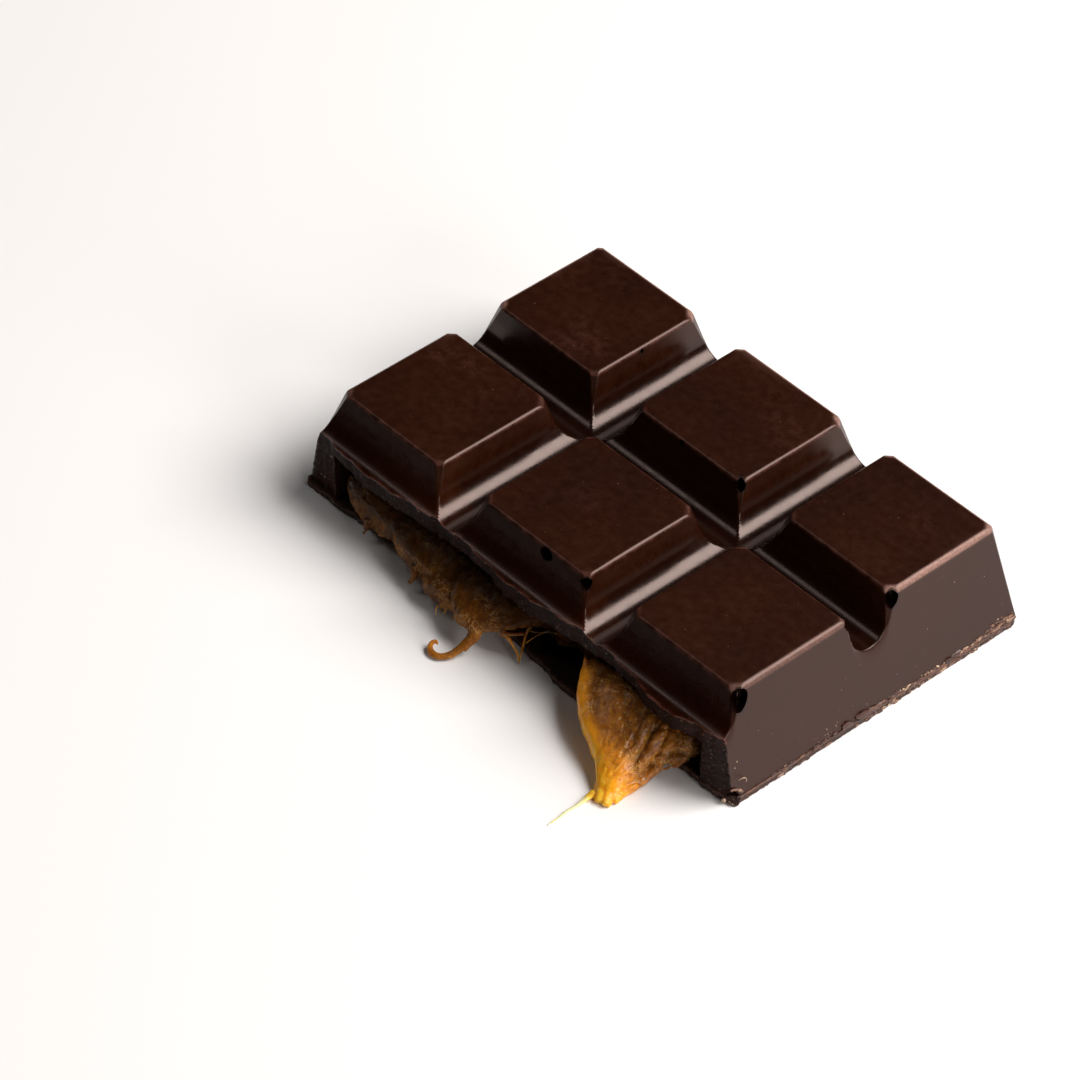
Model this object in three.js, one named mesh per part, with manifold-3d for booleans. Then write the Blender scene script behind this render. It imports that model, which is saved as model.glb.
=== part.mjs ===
// A broken block of a filled dark chocolate bar: six moulded squares, three by two,
// with three sloping moulded outer sides and one broken side where the soft filling
// hangs out onto the table. Millimetres, +Z up. The origin is the centre of the flat
// underside, X runs along the three squares, and the broken side faces -Y.
import * as THREE from "three";
import { mergeVertices } from "three/addons/utils/BufferGeometryUtils.js";
import Module from "manifold-3d";

// ---- driving dimensions ----
const PITCH = 25; // from one square's centre to the next, both ways
const COLUMNS = 3; // squares along X
const THICKNESS = 15.3; // table to the squares' tops
const ROW_Y = [-12.68, 12.32]; // centre lines of the broken-side row and the far row
const TOP_HALF = 8.82; // half a square's top, towards a groove
const TOP_HALF_END = 8.34; // half a square's top, towards an end wall
const TOP_HALF_FAR = 8.52; // half a square's top, towards the far wall
const END_HALF = 36.35; // half length at the table, end walls
const FAR_Y = 23.8; // far wall at the table
const GROOVE_DEPTH = 5.9;
const GROOVE_DRAFT = THREE.MathUtils.degToRad(13);
const EDGE_BEVEL = 0.5; // worn top edges
const CORNER_CUT = 1.0; // the squares' upright corners are cut off by this at the top

const BASE = 1.45; // bottom layer that closes the bar
const BASE_LIP = 0.12; // it stands proud of the walls along the seam
const GAP = 0.3; // between touching pieces
const CEILING = 7.1; // underside of the top shell over the filling
const END_WALL_IN = 31.3; // inner face of the end walls
const FAR_WALL_IN = 18.5; // inner face of the far wall
const BREAK_Y = -24.25; // mean line of the break
const BREAK_WAVE = 0.45; // it bows out between the cross grooves
const BREAK_BULGE = 0.75; // and most of all by the last square

const ARC = 8; // segments of a groove's round bottom

// ---- helpers ----
const wasm = await Module();
wasm.setup();

// A closed three.js geometry as a solid that can be joined and cut.
function solid(geometry) {
  const g = geometry.clone();
  for (const name of Object.keys(g.attributes))
    if (name !== "position") g.deleteAttribute(name);
  const m = mergeVertices(g, 1e-4);
  return new wasm.Manifold(
    new wasm.Mesh({
      numProp: 3,
      vertProperties: new Float32Array(m.attributes.position.array),
      triVerts: new Uint32Array(m.index.array),
    }),
  );
}

function geometryOf(manifold) {
  const m = manifold.getMesh();
  const g = new THREE.BufferGeometry();
  g.setAttribute(
    "position",
    new THREE.BufferAttribute(new Float32Array(m.vertProperties), 3),
  );
  g.setIndex(new THREE.BufferAttribute(new Uint32Array(m.triVerts), 1));
  g.computeVertexNormals();
  return g;
}

const shapeOf = (points) =>
  new THREE.Shape(points.map(([a, b]) => new THREE.Vector2(a, b)));

// A profile given as [x, z] points, drawn out along Y from y0 to y1.
function alongY(points, y0, y1) {
  const g = new THREE.ExtrudeGeometry(shapeOf(points), {
    depth: y1 - y0,
    bevelEnabled: false,
  });
  g.rotateX(Math.PI / 2);
  g.translate(0, y1, 0);
  return solid(g);
}

// A profile given as [y, z] points, drawn out along X from x0 to x1.
function alongX(points, x0, x1) {
  const g = new THREE.ExtrudeGeometry(shapeOf(points), {
    depth: x1 - x0,
    bevelEnabled: false,
  });
  g.applyMatrix4(
    new THREE.Matrix4().makeBasis(
      new THREE.Vector3(0, 1, 0),
      new THREE.Vector3(0, 0, 1),
      new THREE.Vector3(1, 0, 0),
    ),
  );
  g.translate(x0, 0, 0);
  return solid(g);
}

// An outline given as [x, y] points, drawn up from z0 to z1.
function upright(points, z0, z1) {
  const g = new THREE.ExtrudeGeometry(shapeOf(points), {
    depth: z1 - z0,
    bevelEnabled: false,
  });
  g.translate(0, 0, z0);
  return solid(g);
}

function boxOf(x0, x1, y0, y1, z0, z1) {
  const g = new THREE.BoxGeometry(x1 - x0, y1 - y0, z1 - z0);
  g.translate((x0 + x1) / 2, (y0 + y1) / 2, (z0 + z1) / 2);
  return solid(g);
}

// Rings of equal length joined into one skin, with a fan over each end.
function loft(rings) {
  const n = rings[0].length;
  const position = [];
  const index = [];
  rings.forEach((ring) => ring.forEach((p) => position.push(...p)));
  const at = (r, i) => r * n + (i % n);
  for (let r = 0; r + 1 < rings.length; r++)
    for (let i = 0; i < n; i++)
      index.push(
        at(r, i), at(r, i + 1), at(r + 1, i),
        at(r + 1, i), at(r, i + 1), at(r + 1, i + 1),
      );
  [0, rings.length - 1].forEach((r) => {
    const middle = rings[r]
      .reduce((a, p) => a.map((v, k) => v + p[k]), [0, 0, 0])
      .map((v) => v / n);
    const c = position.length / 3;
    position.push(...middle);
    for (let i = 0; i < n; i++)
      r === 0
        ? index.push(c, at(r, i + 1), at(r, i))
        : index.push(c, at(r, i), at(r, i + 1));
  });
  const g = new THREE.BufferGeometry();
  g.setAttribute("position", new THREE.Float32BufferAttribute(position, 3));
  g.setIndex(index);
  const made = solid(g);
  if (made.volume() > 0) return made;
  for (let i = 0; i < index.length; i += 3)
    [index[i + 1], index[i + 2]] = [index[i + 2], index[i + 1]];
  g.setIndex(index);
  return solid(g);
}

// ---- the moulded top: two profiles that cross ----
// One groove's points, from its left rim down, round and up to its right rim.
function groove(centre, half) {
  const t = Math.tan(GROOVE_DRAFT);
  const c = Math.cos(GROOVE_DRAFT);
  const radius =
    ((half - t * GROOVE_DEPTH) * c) / (1 - t * c); // full round at the bottom
  const mid = THICKNESS - GROOVE_DEPTH + radius;
  const points = [[centre - half - EDGE_BEVEL * 0.7, THICKNESS]];
  points.push([centre - half + EDGE_BEVEL * t, THICKNESS - EDGE_BEVEL]);
  for (let k = 0; k <= ARC; k++) {
    const a = Math.PI + GROOVE_DRAFT + ((Math.PI - 2 * GROOVE_DRAFT) * k) / ARC;
    points.push([centre + radius * Math.cos(a), mid + radius * Math.sin(a)]);
  }
  points.push([centre + half - EDGE_BEVEL * t, THICKNESS - EDGE_BEVEL]);
  points.push([centre + half + EDGE_BEVEL * 0.7, THICKNESS]);
  return points;
}

const GROOVE_HALF = PITCH / 2 - TOP_HALF;
const endTop = PITCH + TOP_HALF_END;
const endSlope = (END_HALF - endTop) / THICKNESS;
const farTop = ROW_Y[1] + TOP_HALF_FAR;
const farSlope = (FAR_Y - farTop) / THICKNESS;

const lengthwise = [
  [-END_HALF, 0],
  [-endTop - endSlope * EDGE_BEVEL, THICKNESS - EDGE_BEVEL],
  [-endTop + EDGE_BEVEL * 0.7, THICKNESS],
];
for (let k = 1; k < COLUMNS; k++)
  lengthwise.push(...groove((k - COLUMNS / 2) * PITCH, GROOVE_HALF));
lengthwise.push(
  [endTop - EDGE_BEVEL * 0.7, THICKNESS],
  [endTop + endSlope * EDGE_BEVEL, THICKNESS - EDGE_BEVEL],
  [END_HALF, 0],
);

const frontGroove = groove(ROW_Y[0] - PITCH / 2, GROOVE_HALF).slice(
  2 + ARC / 2,
); // only its half on this block
const crosswise = [
  [-PITCH * 1.5, 0],
  [-PITCH * 1.5, THICKNESS - GROOVE_DEPTH],
  ...frontGroove,
  ...groove((ROW_Y[0] + ROW_Y[1]) / 2, GROOVE_HALF),
  [farTop - EDGE_BEVEL * 0.7, THICKNESS],
  [farTop + farSlope * EDGE_BEVEL, THICKNESS - EDGE_BEVEL],
  [FAR_Y, 0],
];

const flip = (points) => points.slice().reverse();
let shell = alongY(flip(lengthwise), -PITCH * 1.4, FAR_Y + 1).intersect(
  alongX(flip(crosswise), -END_HALF - 1, END_HALF + 1),
);

// ---- the squares' cut-off upright corners ----
// A wedge whose inner face runs from the cut's width at the top to nothing at the groove's
// bottom, where the corner, flaring by slopeX and slopeY, has moved out.
function cornerCut(x, y, sx, sy, slopeX, slopeY) {
  const rise = 1; // the wedge stands above the top by this
  const low = [
    x + sx * slopeX * GROOVE_DEPTH,
    y + sy * slopeY * GROOVE_DEPTH,
    THICKNESS - GROOVE_DEPTH,
  ];
  const beyond = (p) =>
    p.map((v, k) => v + ((v - low[k]) * rise) / GROOVE_DEPTH);
  const inner = [
    low,
    beyond([x - sx * CORNER_CUT, y, THICKNESS]),
    beyond([x, y - sy * CORNER_CUT, THICKNESS]),
  ];
  const outer = inner.map(([px, py, pz]) => [px + sx * 2, py + sy * 2, pz]);
  return loft([inner, outer]);
}
const drafted = Math.tan(GROOVE_DRAFT);
for (let i = 0; i < COLUMNS; i++)
  for (const [row, y] of ROW_Y.entries())
    for (const sx of [-1, 1])
      for (const sy of [-1, 1]) {
        const outerX = (i === 0 && sx < 0) || (i === COLUMNS - 1 && sx > 0);
        const outerY = row === 1 && sy > 0;
        if (outerX && outerY) continue;
        const x = (i - 1) * PITCH + sx * (outerX ? TOP_HALF_END : TOP_HALF);
        const cy = y + sy * (outerY ? TOP_HALF_FAR : TOP_HALF);
        shell = shell.subtract(
          cornerCut(
            x, cy, sx, sy,
            outerX ? endSlope : drafted,
            outerY ? farSlope : drafted,
          ),
        );
      }

// ---- the break along the missing row ----
const breakLine = (x) =>
  BREAK_Y -
  BREAK_WAVE * Math.cos((2 * Math.PI * x) / PITCH) -
  BREAK_BULGE * Math.exp(-(((x - 25.5) / 3.2) ** 2)) +
  0.14 * Math.sin(x * 1.9 + 0.4) +
  0.09 * Math.sin(x * 3.7 + 1.1);
function cutBeyond(line, z0, z1, steps = 72) {
  const points = [];
  for (let k = 0; k <= steps; k++) {
    const x = -END_HALF - 1 + ((2 * END_HALF + 2) * k) / steps;
    points.push([x, line(x)]);
  }
  points.push([END_HALF + 1, -PITCH * 2], [-END_HALF - 1, -PITCH * 2]);
  return upright(flip(points), z0, z1);
}
shell = shell.subtract(cutBeyond(breakLine, -1, THICKNESS + 1));

// ---- hollow for the filling, open below and at the break ----
shell = shell
  .subtract(
    boxOf(-END_WALL_IN, END_WALL_IN, -PITCH * 1.5, FAR_WALL_IN, -1, CEILING),
  )
  .subtract(
    boxOf(-PITCH * 2, PITCH * 2, -PITCH * 2, PITCH * 2, -1, BASE + GAP),
  );

// ---- mould air bubbles: [x, y, z, radius, height] ----
const BUBBLES = [
  [2.4, ROW_Y[0] - TOP_HALF, THICKNESS - 0.5, 1.0, 1.0],
  [TOP_HALF, ROW_Y[0] - TOP_HALF + 0.1, THICKNESS - 1.0, 1.0, 1.05],
  [TOP_HALF - 0.4, ROW_Y[1] - TOP_HALF + 0.2, THICKNESS - 0.6, 0.85, 0.85],
  [PITCH + TOP_HALF_END, ROW_Y[1] - TOP_HALF + 0.4, THICKNESS - 1.5, 1.0, 1.6],
  [PITCH + TOP_HALF_END, ROW_Y[0] - TOP_HALF + 0.4, THICKNESS - 1.9, 1.0, 2.0],
  [-1.2, ROW_Y[1] - TOP_HALF, THICKNESS - 0.3, 0.55, 0.5],
];
for (const [x, y, z, r, h] of BUBBLES) {
  const g = new THREE.SphereGeometry(1, 12, 8);
  g.rotateX(0.3);
  g.scale(r, r, h);
  g.translate(x, y, z);
  shell = shell.subtract(solid(g));
}

// ---- bottom layer ----
const baseBreak = (x) =>
  -23.6 -
  1.25 * Math.exp(-(((x - 13) / 6) ** 2)) -
  0.9 * Math.exp(-(((x - 34.6) / 1.6) ** 2)) +
  0.7 * Math.sin(x * 0.16 - 2.7) +
  0.18 * Math.sin(x * 1.3) +
  0.12 * Math.sin(x * 2.9 + 0.7);
const lip = (s) =>
  BASE_LIP + 0.05 * Math.sin(s * 0.9) + 0.04 * Math.sin(s * 2.3 + 1);
const CORNER_R = 1.2;
const baseOutline = [];
{
  const w = END_HALF, f = FAR_Y, steps = 26;
  for (let k = 0; k <= steps; k++) {
    const y = -PITCH * 1.3 + ((f - CORNER_R + PITCH * 1.3) * k) / steps;
    baseOutline.push([w + lip(y), y]);
  }
  baseOutline.push([w + 0.05 - CORNER_R * 0.2, f - CORNER_R * 0.2]);
  for (let k = 0; k <= steps; k++) {
    const x = w - CORNER_R - ((2 * w - 2 * CORNER_R) * k) / steps;
    baseOutline.push([x, f + lip(x)]);
  }
  baseOutline.push([-w - 0.05 + CORNER_R * 0.2, f - CORNER_R * 0.2]);
  for (let k = 0; k <= steps; k++) {
    const y = f - CORNER_R - ((f - CORNER_R + PITCH * 1.3) * k) / steps;
    baseOutline.push([-w - lip(y + 7), y]);
  }
}
const baseLayer = upright(baseOutline, 0, BASE).subtract(
  cutBeyond(baseBreak, -1, BASE + 1),
);

// ---- soft filling ----
// It fills the hollow and bulges out of the break: a broad lobe on the left, then a
// long tongue on the right that droops to the table and ends in a drawn-out tail.
const FILL_TOP = CEILING - GAP;
const FILL_LOW = BASE + GAP;
const front = (x) =>
  -22.4 +
  0.5 * Math.sin(x * 0.9 + 1) +
  0.3 * Math.sin(x * 2.1) -
  1.4 * Math.exp(-(((x + 6) / 12) ** 4)) -
  1.0 * Math.exp(-(((x - 21) / 8) ** 4));
const slabOutline = [
  [END_WALL_IN - GAP, FAR_WALL_IN - GAP],
  [-END_WALL_IN + GAP, FAR_WALL_IN - GAP],
];
for (let k = 0; k <= 48; k++) {
  const x = -(END_WALL_IN - GAP) + (2 * (END_WALL_IN - GAP) * k) / 48;
  slabOutline.push([x, front(x)]);
}
let filling = upright(slabOutline, FILL_LOW, FILL_TOP);

// A lobe's ring at one y: left and right edges with their heights, top and floor.
const RING = 16;
function ring([y, xl, xr, zl, zr, top, floor]) {
  const points = [];
  for (let k = 0; k < RING; k++) {
    const a = (2 * Math.PI * k) / RING;
    const s = (1 + Math.cos(a)) / 2;
    const x = xl + (xr - xl) * s;
    const level = zl + (zr - zl) * s;
    const up = Math.sin(a);
    const reach = Math.abs(up) ** 0.8;
    points.push([x, y, up >= 0 ? level + (top - level) * reach : level - (level - floor) * reach]);
  }
  return points;
}
// y, left x, right x, left z, right z, top z, floor z
const TONGUE = [
  [-20.5, 12.8, 30.3, 4.4, 4.0, FILL_TOP - 0.1, FILL_LOW],
  [-24.0, 12.2, 29.6, 4.8, 3.4, FILL_TOP - 0.1, FILL_LOW - 0.3],
  [-25.6, 12.9, 27.4, 4.0, 1.6, 6.1, 0.3],
  [-27.2, 14.6, 26.6, 3.2, 0.9, 5.4, 0.15],
  [-29.2, 17.6, 26.5, 2.8, 0.6, 4.6, 0.12],
  [-31.2, 21.2, 26.8, 1.9, 0.5, 3.3, 0.12],
  [-33.2, 23.5, 27.2, 1.1, 0.45, 2.0, 0.12],
  [-34.6, 25.3, 27.6, 0.6, 0.4, 1.1, 0.12],
  [-35.4, 26.2, 27.3, 0.4, 0.35, 0.7, 0.12],
];
const TAIL = [
  [-32.6, 23.6, 25.6, 0.6, 0.5, 1.1, 0.12],
  [-34.4, 23.8, 25.2, 0.45, 0.4, 0.8, 0.12],
  [-36.8, 23.9, 24.9, 0.4, 0.4, 0.65, 0.12],
  [-39.2, 24.0, 24.8, 0.35, 0.35, 0.6, 0.12],
  [-41.6, 24.1, 24.6, 0.3, 0.3, 0.5, 0.15],
];
const LOBE = [
  [-20.5, -27.0, 7.0, 4.2, 4.2, FILL_TOP - 0.1, FILL_LOW],
  [-24.0, -27.5, 6.2, 4.2, 4.4, FILL_TOP - 0.1, FILL_LOW],
  [-26.0, -24.0, 3.4, 4.0, 3.6, 6.3, 1.9],
  [-27.8, -20.0, -0.8, 3.6, 3.2, 5.6, 1.6],
  [-29.2, -14.5, -5.0, 3.2, 2.6, 4.4, 1.6],
];
const taper = (points, radius, steps) => {
  const curve = new THREE.CatmullRomCurve3(
    points.map((p) => new THREE.Vector3(...p)),
  );
  const rings = [];
  for (let k = 0; k <= steps; k++) {
    const t = k / steps;
    const c = curve.getPointAt(t);
    const d = curve.getTangentAt(t);
    const side = new THREE.Vector3(0, 0, 1).cross(d).normalize();
    const up = d.clone().cross(side);
    const r = radius(t);
    const around = [];
    for (let i = 0; i < 8; i++) {
      const a = (2 * Math.PI * i) / 8;
      const p = c.clone()
        .addScaledVector(side, r * Math.cos(a))
        .addScaledVector(up, r * Math.sin(a));
      around.push([p.x, p.y, Math.max(p.z, 0.1)]);
    }
    rings.push(around);
  }
  return loft(rings);
};
const CURL = [
  [-3.4, -26.0, 3.2],
  [-2.6, -28.2, 2.2],
  [-2.2, -30.0, 1.2],
  [-2.9, -31.8, 0.7],
  [-4.6, -32.5, 0.6],
  [-5.7, -31.7, 0.7],
  [-5.5, -30.9, 0.9],
];
const STRAND = [
  [0.9, -24.6, 3.8],
  [1.9, -25.6, 2.4],
  [2.8, -26.0, 1.1],
  [3.4, -26.2, 0.55],
];
for (const lobe of [TONGUE, TAIL, LOBE])
  filling = filling.add(loft(lobe.map(ring)));
filling = filling
  .add(taper(CURL, (t) => 0.75 - 0.35 * t, 14))
  .add(taper(STRAND, (t) => 0.7 - 0.3 * t, 8));
// It lies over the bottom layer's broken edge and just clear of it.
filling = filling.subtract(
  upright(baseOutline, -1, BASE + GAP).subtract(
    cutBeyond((x) => baseBreak(x) - GAP, -2, BASE + 2),
  ),
);

// ---- the parts ----
function part(name, manifold, color, roughness) {
  const mesh = new THREE.Mesh(
    geometryOf(manifold),
    new THREE.MeshStandardMaterial({ color, roughness, metalness: 0 }),
  );
  mesh.name = name;
  return mesh;
}

const group = new THREE.Group();
group.add(
  part("chocolate_shell", shell, 0x2b1712, 0.42),
  part("base_layer", baseLayer, 0x33201a, 0.55),
  part("filling", filling, 0xc8791f, 0.4),
);

export default group;
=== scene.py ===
"""The looks of a broken block of filled dark chocolate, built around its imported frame.

Lengths in the constants are millimetres in the part's own frame: X along the three
squares, the broken side at -Y, Z up from the table. MM turns them into metres.
"""

import math

import bmesh
import bpy
import numpy as np
from mathutils import Matrix, Vector


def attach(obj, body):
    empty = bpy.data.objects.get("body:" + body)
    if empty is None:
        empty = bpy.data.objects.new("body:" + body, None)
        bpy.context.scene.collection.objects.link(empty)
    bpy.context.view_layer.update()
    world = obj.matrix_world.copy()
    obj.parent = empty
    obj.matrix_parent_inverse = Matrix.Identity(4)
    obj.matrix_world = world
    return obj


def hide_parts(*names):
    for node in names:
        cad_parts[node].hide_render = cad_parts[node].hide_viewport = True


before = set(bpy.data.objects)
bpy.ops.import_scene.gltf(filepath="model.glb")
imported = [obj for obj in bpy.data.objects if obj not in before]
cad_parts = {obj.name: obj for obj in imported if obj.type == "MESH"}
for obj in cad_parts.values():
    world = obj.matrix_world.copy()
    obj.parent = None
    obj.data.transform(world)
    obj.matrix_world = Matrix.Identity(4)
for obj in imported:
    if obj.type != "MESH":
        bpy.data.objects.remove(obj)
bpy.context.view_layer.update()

MM = 0.001
SEED = 7

# ---------------------------------------------------------------- sizes
PITCH = 25.0
TOP = 15.3  # height of the squares' tops
ROW_Y = (-12.68, 12.32)
TOP_HALF = 8.82
TOP_HALF_END = 8.34
TOP_HALF_FAR = 8.52
END_HALF = 36.35
FAR_Y = 23.8
DEPTH = 5.9
DRAFT = math.radians(13)
EDGE_R = 0.5  # rounding of the squares' rims along the grooves
WALL_R = 0.76  # and along the outer walls
CORNER_CUT = 1.0
LIP = 1.7  # rounding, in height, of the lip where a groove runs out through a wall
SEAM = 1.0
BREAK_Y = -24.25
BREAK_WAVE = 0.45
BREAK_BULGE = 0.75
CEILING = 7.1
END_WALL_IN = 31.3
FAR_WALL_IN = 18.5
GROOVE_Z = TOP - DEPTH
GROOVE_HALF = PITCH / 2 - TOP_HALF


# ---------------------------------------------------------------- noise
def _hash(ix, iy, iz, seed):
    h = (
        ix.astype(np.int64) * 374761393
        + iy.astype(np.int64) * 668265263
        + iz.astype(np.int64) * 2147483647
        + seed * 1274126177
    ) & 0xFFFFFFFF
    h = ((h ^ (h >> 13)) * 1274126177) & 0xFFFFFFFF
    h = ((h ^ (h >> 16)) * 2246822519) & 0xFFFFFFFF
    return ((h ^ (h >> 15)) & 0xFFFFFF) / float(0xFFFFFF)


def noise(p, scale=1.0, seed=0):
    """Smooth value noise in -1..1 at points p (n, 3), with cells of the given size."""
    q = np.asarray(p, float) / scale
    i = np.floor(q).astype(np.int64)
    f = q - i
    f = f * f * f * (f * (f * 6 - 15) + 10)
    out = 0
    for dx in (0, 1):
        wx = f[:, 0] if dx else 1 - f[:, 0]
        for dy in (0, 1):
            wy = f[:, 1] if dy else 1 - f[:, 1]
            for dz in (0, 1):
                wz = f[:, 2] if dz else 1 - f[:, 2]
                out = out + wx * wy * wz * _hash(
                    i[:, 0] + dx, i[:, 1] + dy, i[:, 2] + dz, seed + SEED
                )
    return out * 2 - 1


def fractal(p, scale, octaves=4, gain=0.5, seed=0):
    total, amp, norm = 0, 1.0, 0
    for k in range(octaves):
        total = total + amp * noise(p, scale / 2**k, seed + 31 * k)
        norm += amp
        amp *= gain
    return total / norm


def ridged(p, scale, octaves=3, gain=0.5, seed=0):
    total, amp, norm = 0, 1.0, 0
    for k in range(octaves):
        total = total + amp * (1 - np.abs(noise(p, scale / 2**k, seed + 17 * k)) * 2)
        norm += amp
        amp *= gain
    return total / norm


def smooth(a, b, x):
    t = np.clip((x - a) / (b - a), 0, 1)
    return t * t * (3 - 2 * t)


# ---------------------------------------------------------------- mesh helpers
def make_object(name, verts, faces, mats=(), smooth_shade=True):
    mesh = bpy.data.meshes.new(name)
    mesh.from_pydata((np.asarray(verts) * MM).tolist(), [], faces)
    mesh.update()
    mesh.validate()
    if smooth_shade:
        mesh.polygons.foreach_set("use_smooth", [True] * len(mesh.polygons))
    for m in mats:
        mesh.materials.append(m)
    obj = bpy.data.objects.new(name, mesh)
    bpy.context.scene.collection.objects.link(obj)
    return obj


def coords(obj):
    co = np.zeros(len(obj.data.vertices) * 3)
    obj.data.vertices.foreach_get("co", co)
    return co.reshape(-1, 3) / MM


def set_coords(obj, co):
    obj.data.vertices.foreach_set("co", (np.asarray(co) * MM).ravel())
    obj.data.update()


def normals(obj):
    n = np.zeros(len(obj.data.vertices) * 3)
    obj.data.vertices.foreach_get("normal", n)
    return n.reshape(-1, 3)


def attribute(obj, name, values):
    a = obj.data.attributes.new(name, "FLOAT", "POINT")
    a.data.foreach_set("value", np.asarray(values, np.float32))


def grid_faces(nu, nv, start=0, wrap=False):
    u, v = np.meshgrid(np.arange(nu - 1), np.arange(nv if wrap else nv - 1), indexing="ij")
    v2 = (v + 1) % nv
    a = u * nv + v + start
    b = (u + 1) * nv + v + start
    c = (u + 1) * nv + v2 + start
    d = u * nv + v2 + start
    return np.stack([a, b, c, d], -1).reshape(-1, 4)


def solid_block(xs, ys, upper, lower):
    """A closed block between two height grids over the lines xs and ys."""
    nx, ny = len(xs), len(ys)
    gx, gy = np.meshgrid(xs, ys, indexing="ij")
    verts = np.concatenate(
        [
            np.stack([gx, gy, upper], -1).reshape(-1, 3),
            np.stack([gx, gy, lower], -1).reshape(-1, 3),
        ]
    )
    n = nx * ny
    top = grid_faces(nx, ny)
    bottom = top[:, ::-1] + n
    sides = []
    for i in range(nx - 1):
        for j, turn in ((0, False), (ny - 1, True)):
            a, b = i * ny + j, (i + 1) * ny + j
            q = [a, a + n, b + n, b]
            sides.append(q[::-1] if turn else q)
    for j in range(ny - 1):
        for i, turn in ((0, True), (nx - 1, False)):
            a, b = i * ny + j, i * ny + j + 1
            q = [a, a + n, b + n, b]
            sides.append(q[::-1] if turn else q)
    return verts, top.tolist() + bottom.tolist() + sides


def boolean(target, cutter, operation="DIFFERENCE"):
    mod = target.modifiers.new("cut", "BOOLEAN")
    mod.operation = operation
    mod.object = cutter
    mod.solver = "MANIFOLD"
    graph = bpy.context.evaluated_depsgraph_get()
    new = bpy.data.meshes.new_from_object(target.evaluated_get(graph))
    old = target.data
    target.modifiers.clear()
    target.data = new
    bpy.data.meshes.remove(old)
    bpy.data.objects.remove(cutter)


def outward(obj):
    bm = bmesh.new()
    bm.from_mesh(obj.data)
    bmesh.ops.recalc_face_normals(bm, faces=bm.faces)
    bm.to_mesh(obj.data)
    bm.free()


# ---------------------------------------------------------------- materials
def material(name):
    m = bpy.data.materials.new(name)
    m.use_nodes = True
    nt = m.node_tree
    for n in list(nt.nodes):
        nt.nodes.remove(n)
    out = nt.nodes.new("ShaderNodeOutputMaterial")
    bsdf = nt.nodes.new("ShaderNodeBsdfPrincipled")
    nt.links.new(bsdf.outputs[0], out.inputs[0])
    return m, nt, bsdf


class Graph:
    """Short names for the node calls that the materials repeat."""

    def __init__(self, nt):
        self.nt = nt
        self.pos = nt.nodes.new("ShaderNodeTexCoord").outputs["Object"]

    def node(self, kind, **props):
        n = self.nt.nodes.new(kind)
        for k, v in props.items():
            setattr(n, k, v)
        return n

    def link(self, a, b):
        self.nt.links.new(a, b)

    def noise(self, scale, detail=4, rough=0.55, stretch=None, distortion=0.0):
        n = self.node("ShaderNodeTexNoise")
        n.inputs["Scale"].default_value = scale
        n.inputs["Detail"].default_value = detail
        n.inputs["Roughness"].default_value = rough
        n.inputs["Distortion"].default_value = distortion
        if stretch is None:
            self.link(self.pos, n.inputs["Vector"])
        else:
            m = self.node("ShaderNodeMapping")
            m.inputs["Scale"].default_value = stretch
            self.link(self.pos, m.inputs["Vector"])
            self.link(m.outputs[0], n.inputs["Vector"])
        return n.outputs["Fac"]

    def voronoi(self, scale, feature="F1"):
        n = self.node("ShaderNodeTexVoronoi", feature=feature)
        n.inputs["Scale"].default_value = scale
        self.link(self.pos, n.inputs["Vector"])
        return n.outputs["Distance"]

    def attr(self, name):
        n = self.node("ShaderNodeAttribute", attribute_name=name)
        return n.outputs["Fac"]

    def ramp(self, fac, stops, mode="LINEAR"):
        n = self.node("ShaderNodeValToRGB")
        n.color_ramp.interpolation = mode
        while len(n.color_ramp.elements) < len(stops):
            n.color_ramp.elements.new(0.5)
        for e, (p, c) in zip(n.color_ramp.elements, stops):
            e.position = p
            e.color = (*c, 1) if len(c) == 3 else c
        self.link(fac, n.inputs[0])
        return n.outputs[0]

    def map(self, value, a, b, c, d):
        n = self.node("ShaderNodeMapRange")
        for k, v in zip(("From Min", "From Max", "To Min", "To Max"), (a, b, c, d)):
            n.inputs[k].default_value = v
        self.link(value, n.inputs["Value"])
        return n.outputs[0]

    def math(self, op, a, b=None, clamp=False):
        n = self.node("ShaderNodeMath", operation=op, use_clamp=clamp)
        for k, v in enumerate((a, b)):
            if v is None:
                continue
            if isinstance(v, (int, float)):
                n.inputs[k].default_value = v
            else:
                self.link(v, n.inputs[k])
        return n.outputs[0]

    def mix(self, fac, a, b, blend="MIX"):
        n = self.node("ShaderNodeMix", data_type="RGBA", blend_type=blend)
        for k, v in ((0, fac), (6, a), (7, b)):
            if isinstance(v, (int, float)):
                n.inputs[k].default_value = v
            elif isinstance(v, tuple):
                n.inputs[k].default_value = (*v, 1)
            else:
                self.link(v, n.inputs[k])
        return n.outputs[2]

    def bump(self, height, strength, distance, normal=None):
        n = self.node("ShaderNodeBump")
        n.inputs["Strength"].default_value = strength
        n.inputs["Distance"].default_value = distance
        self.link(height, n.inputs["Height"])
        if normal is not None:
            self.link(normal, n.inputs["Normal"])
        return n.outputs[0]


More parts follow.
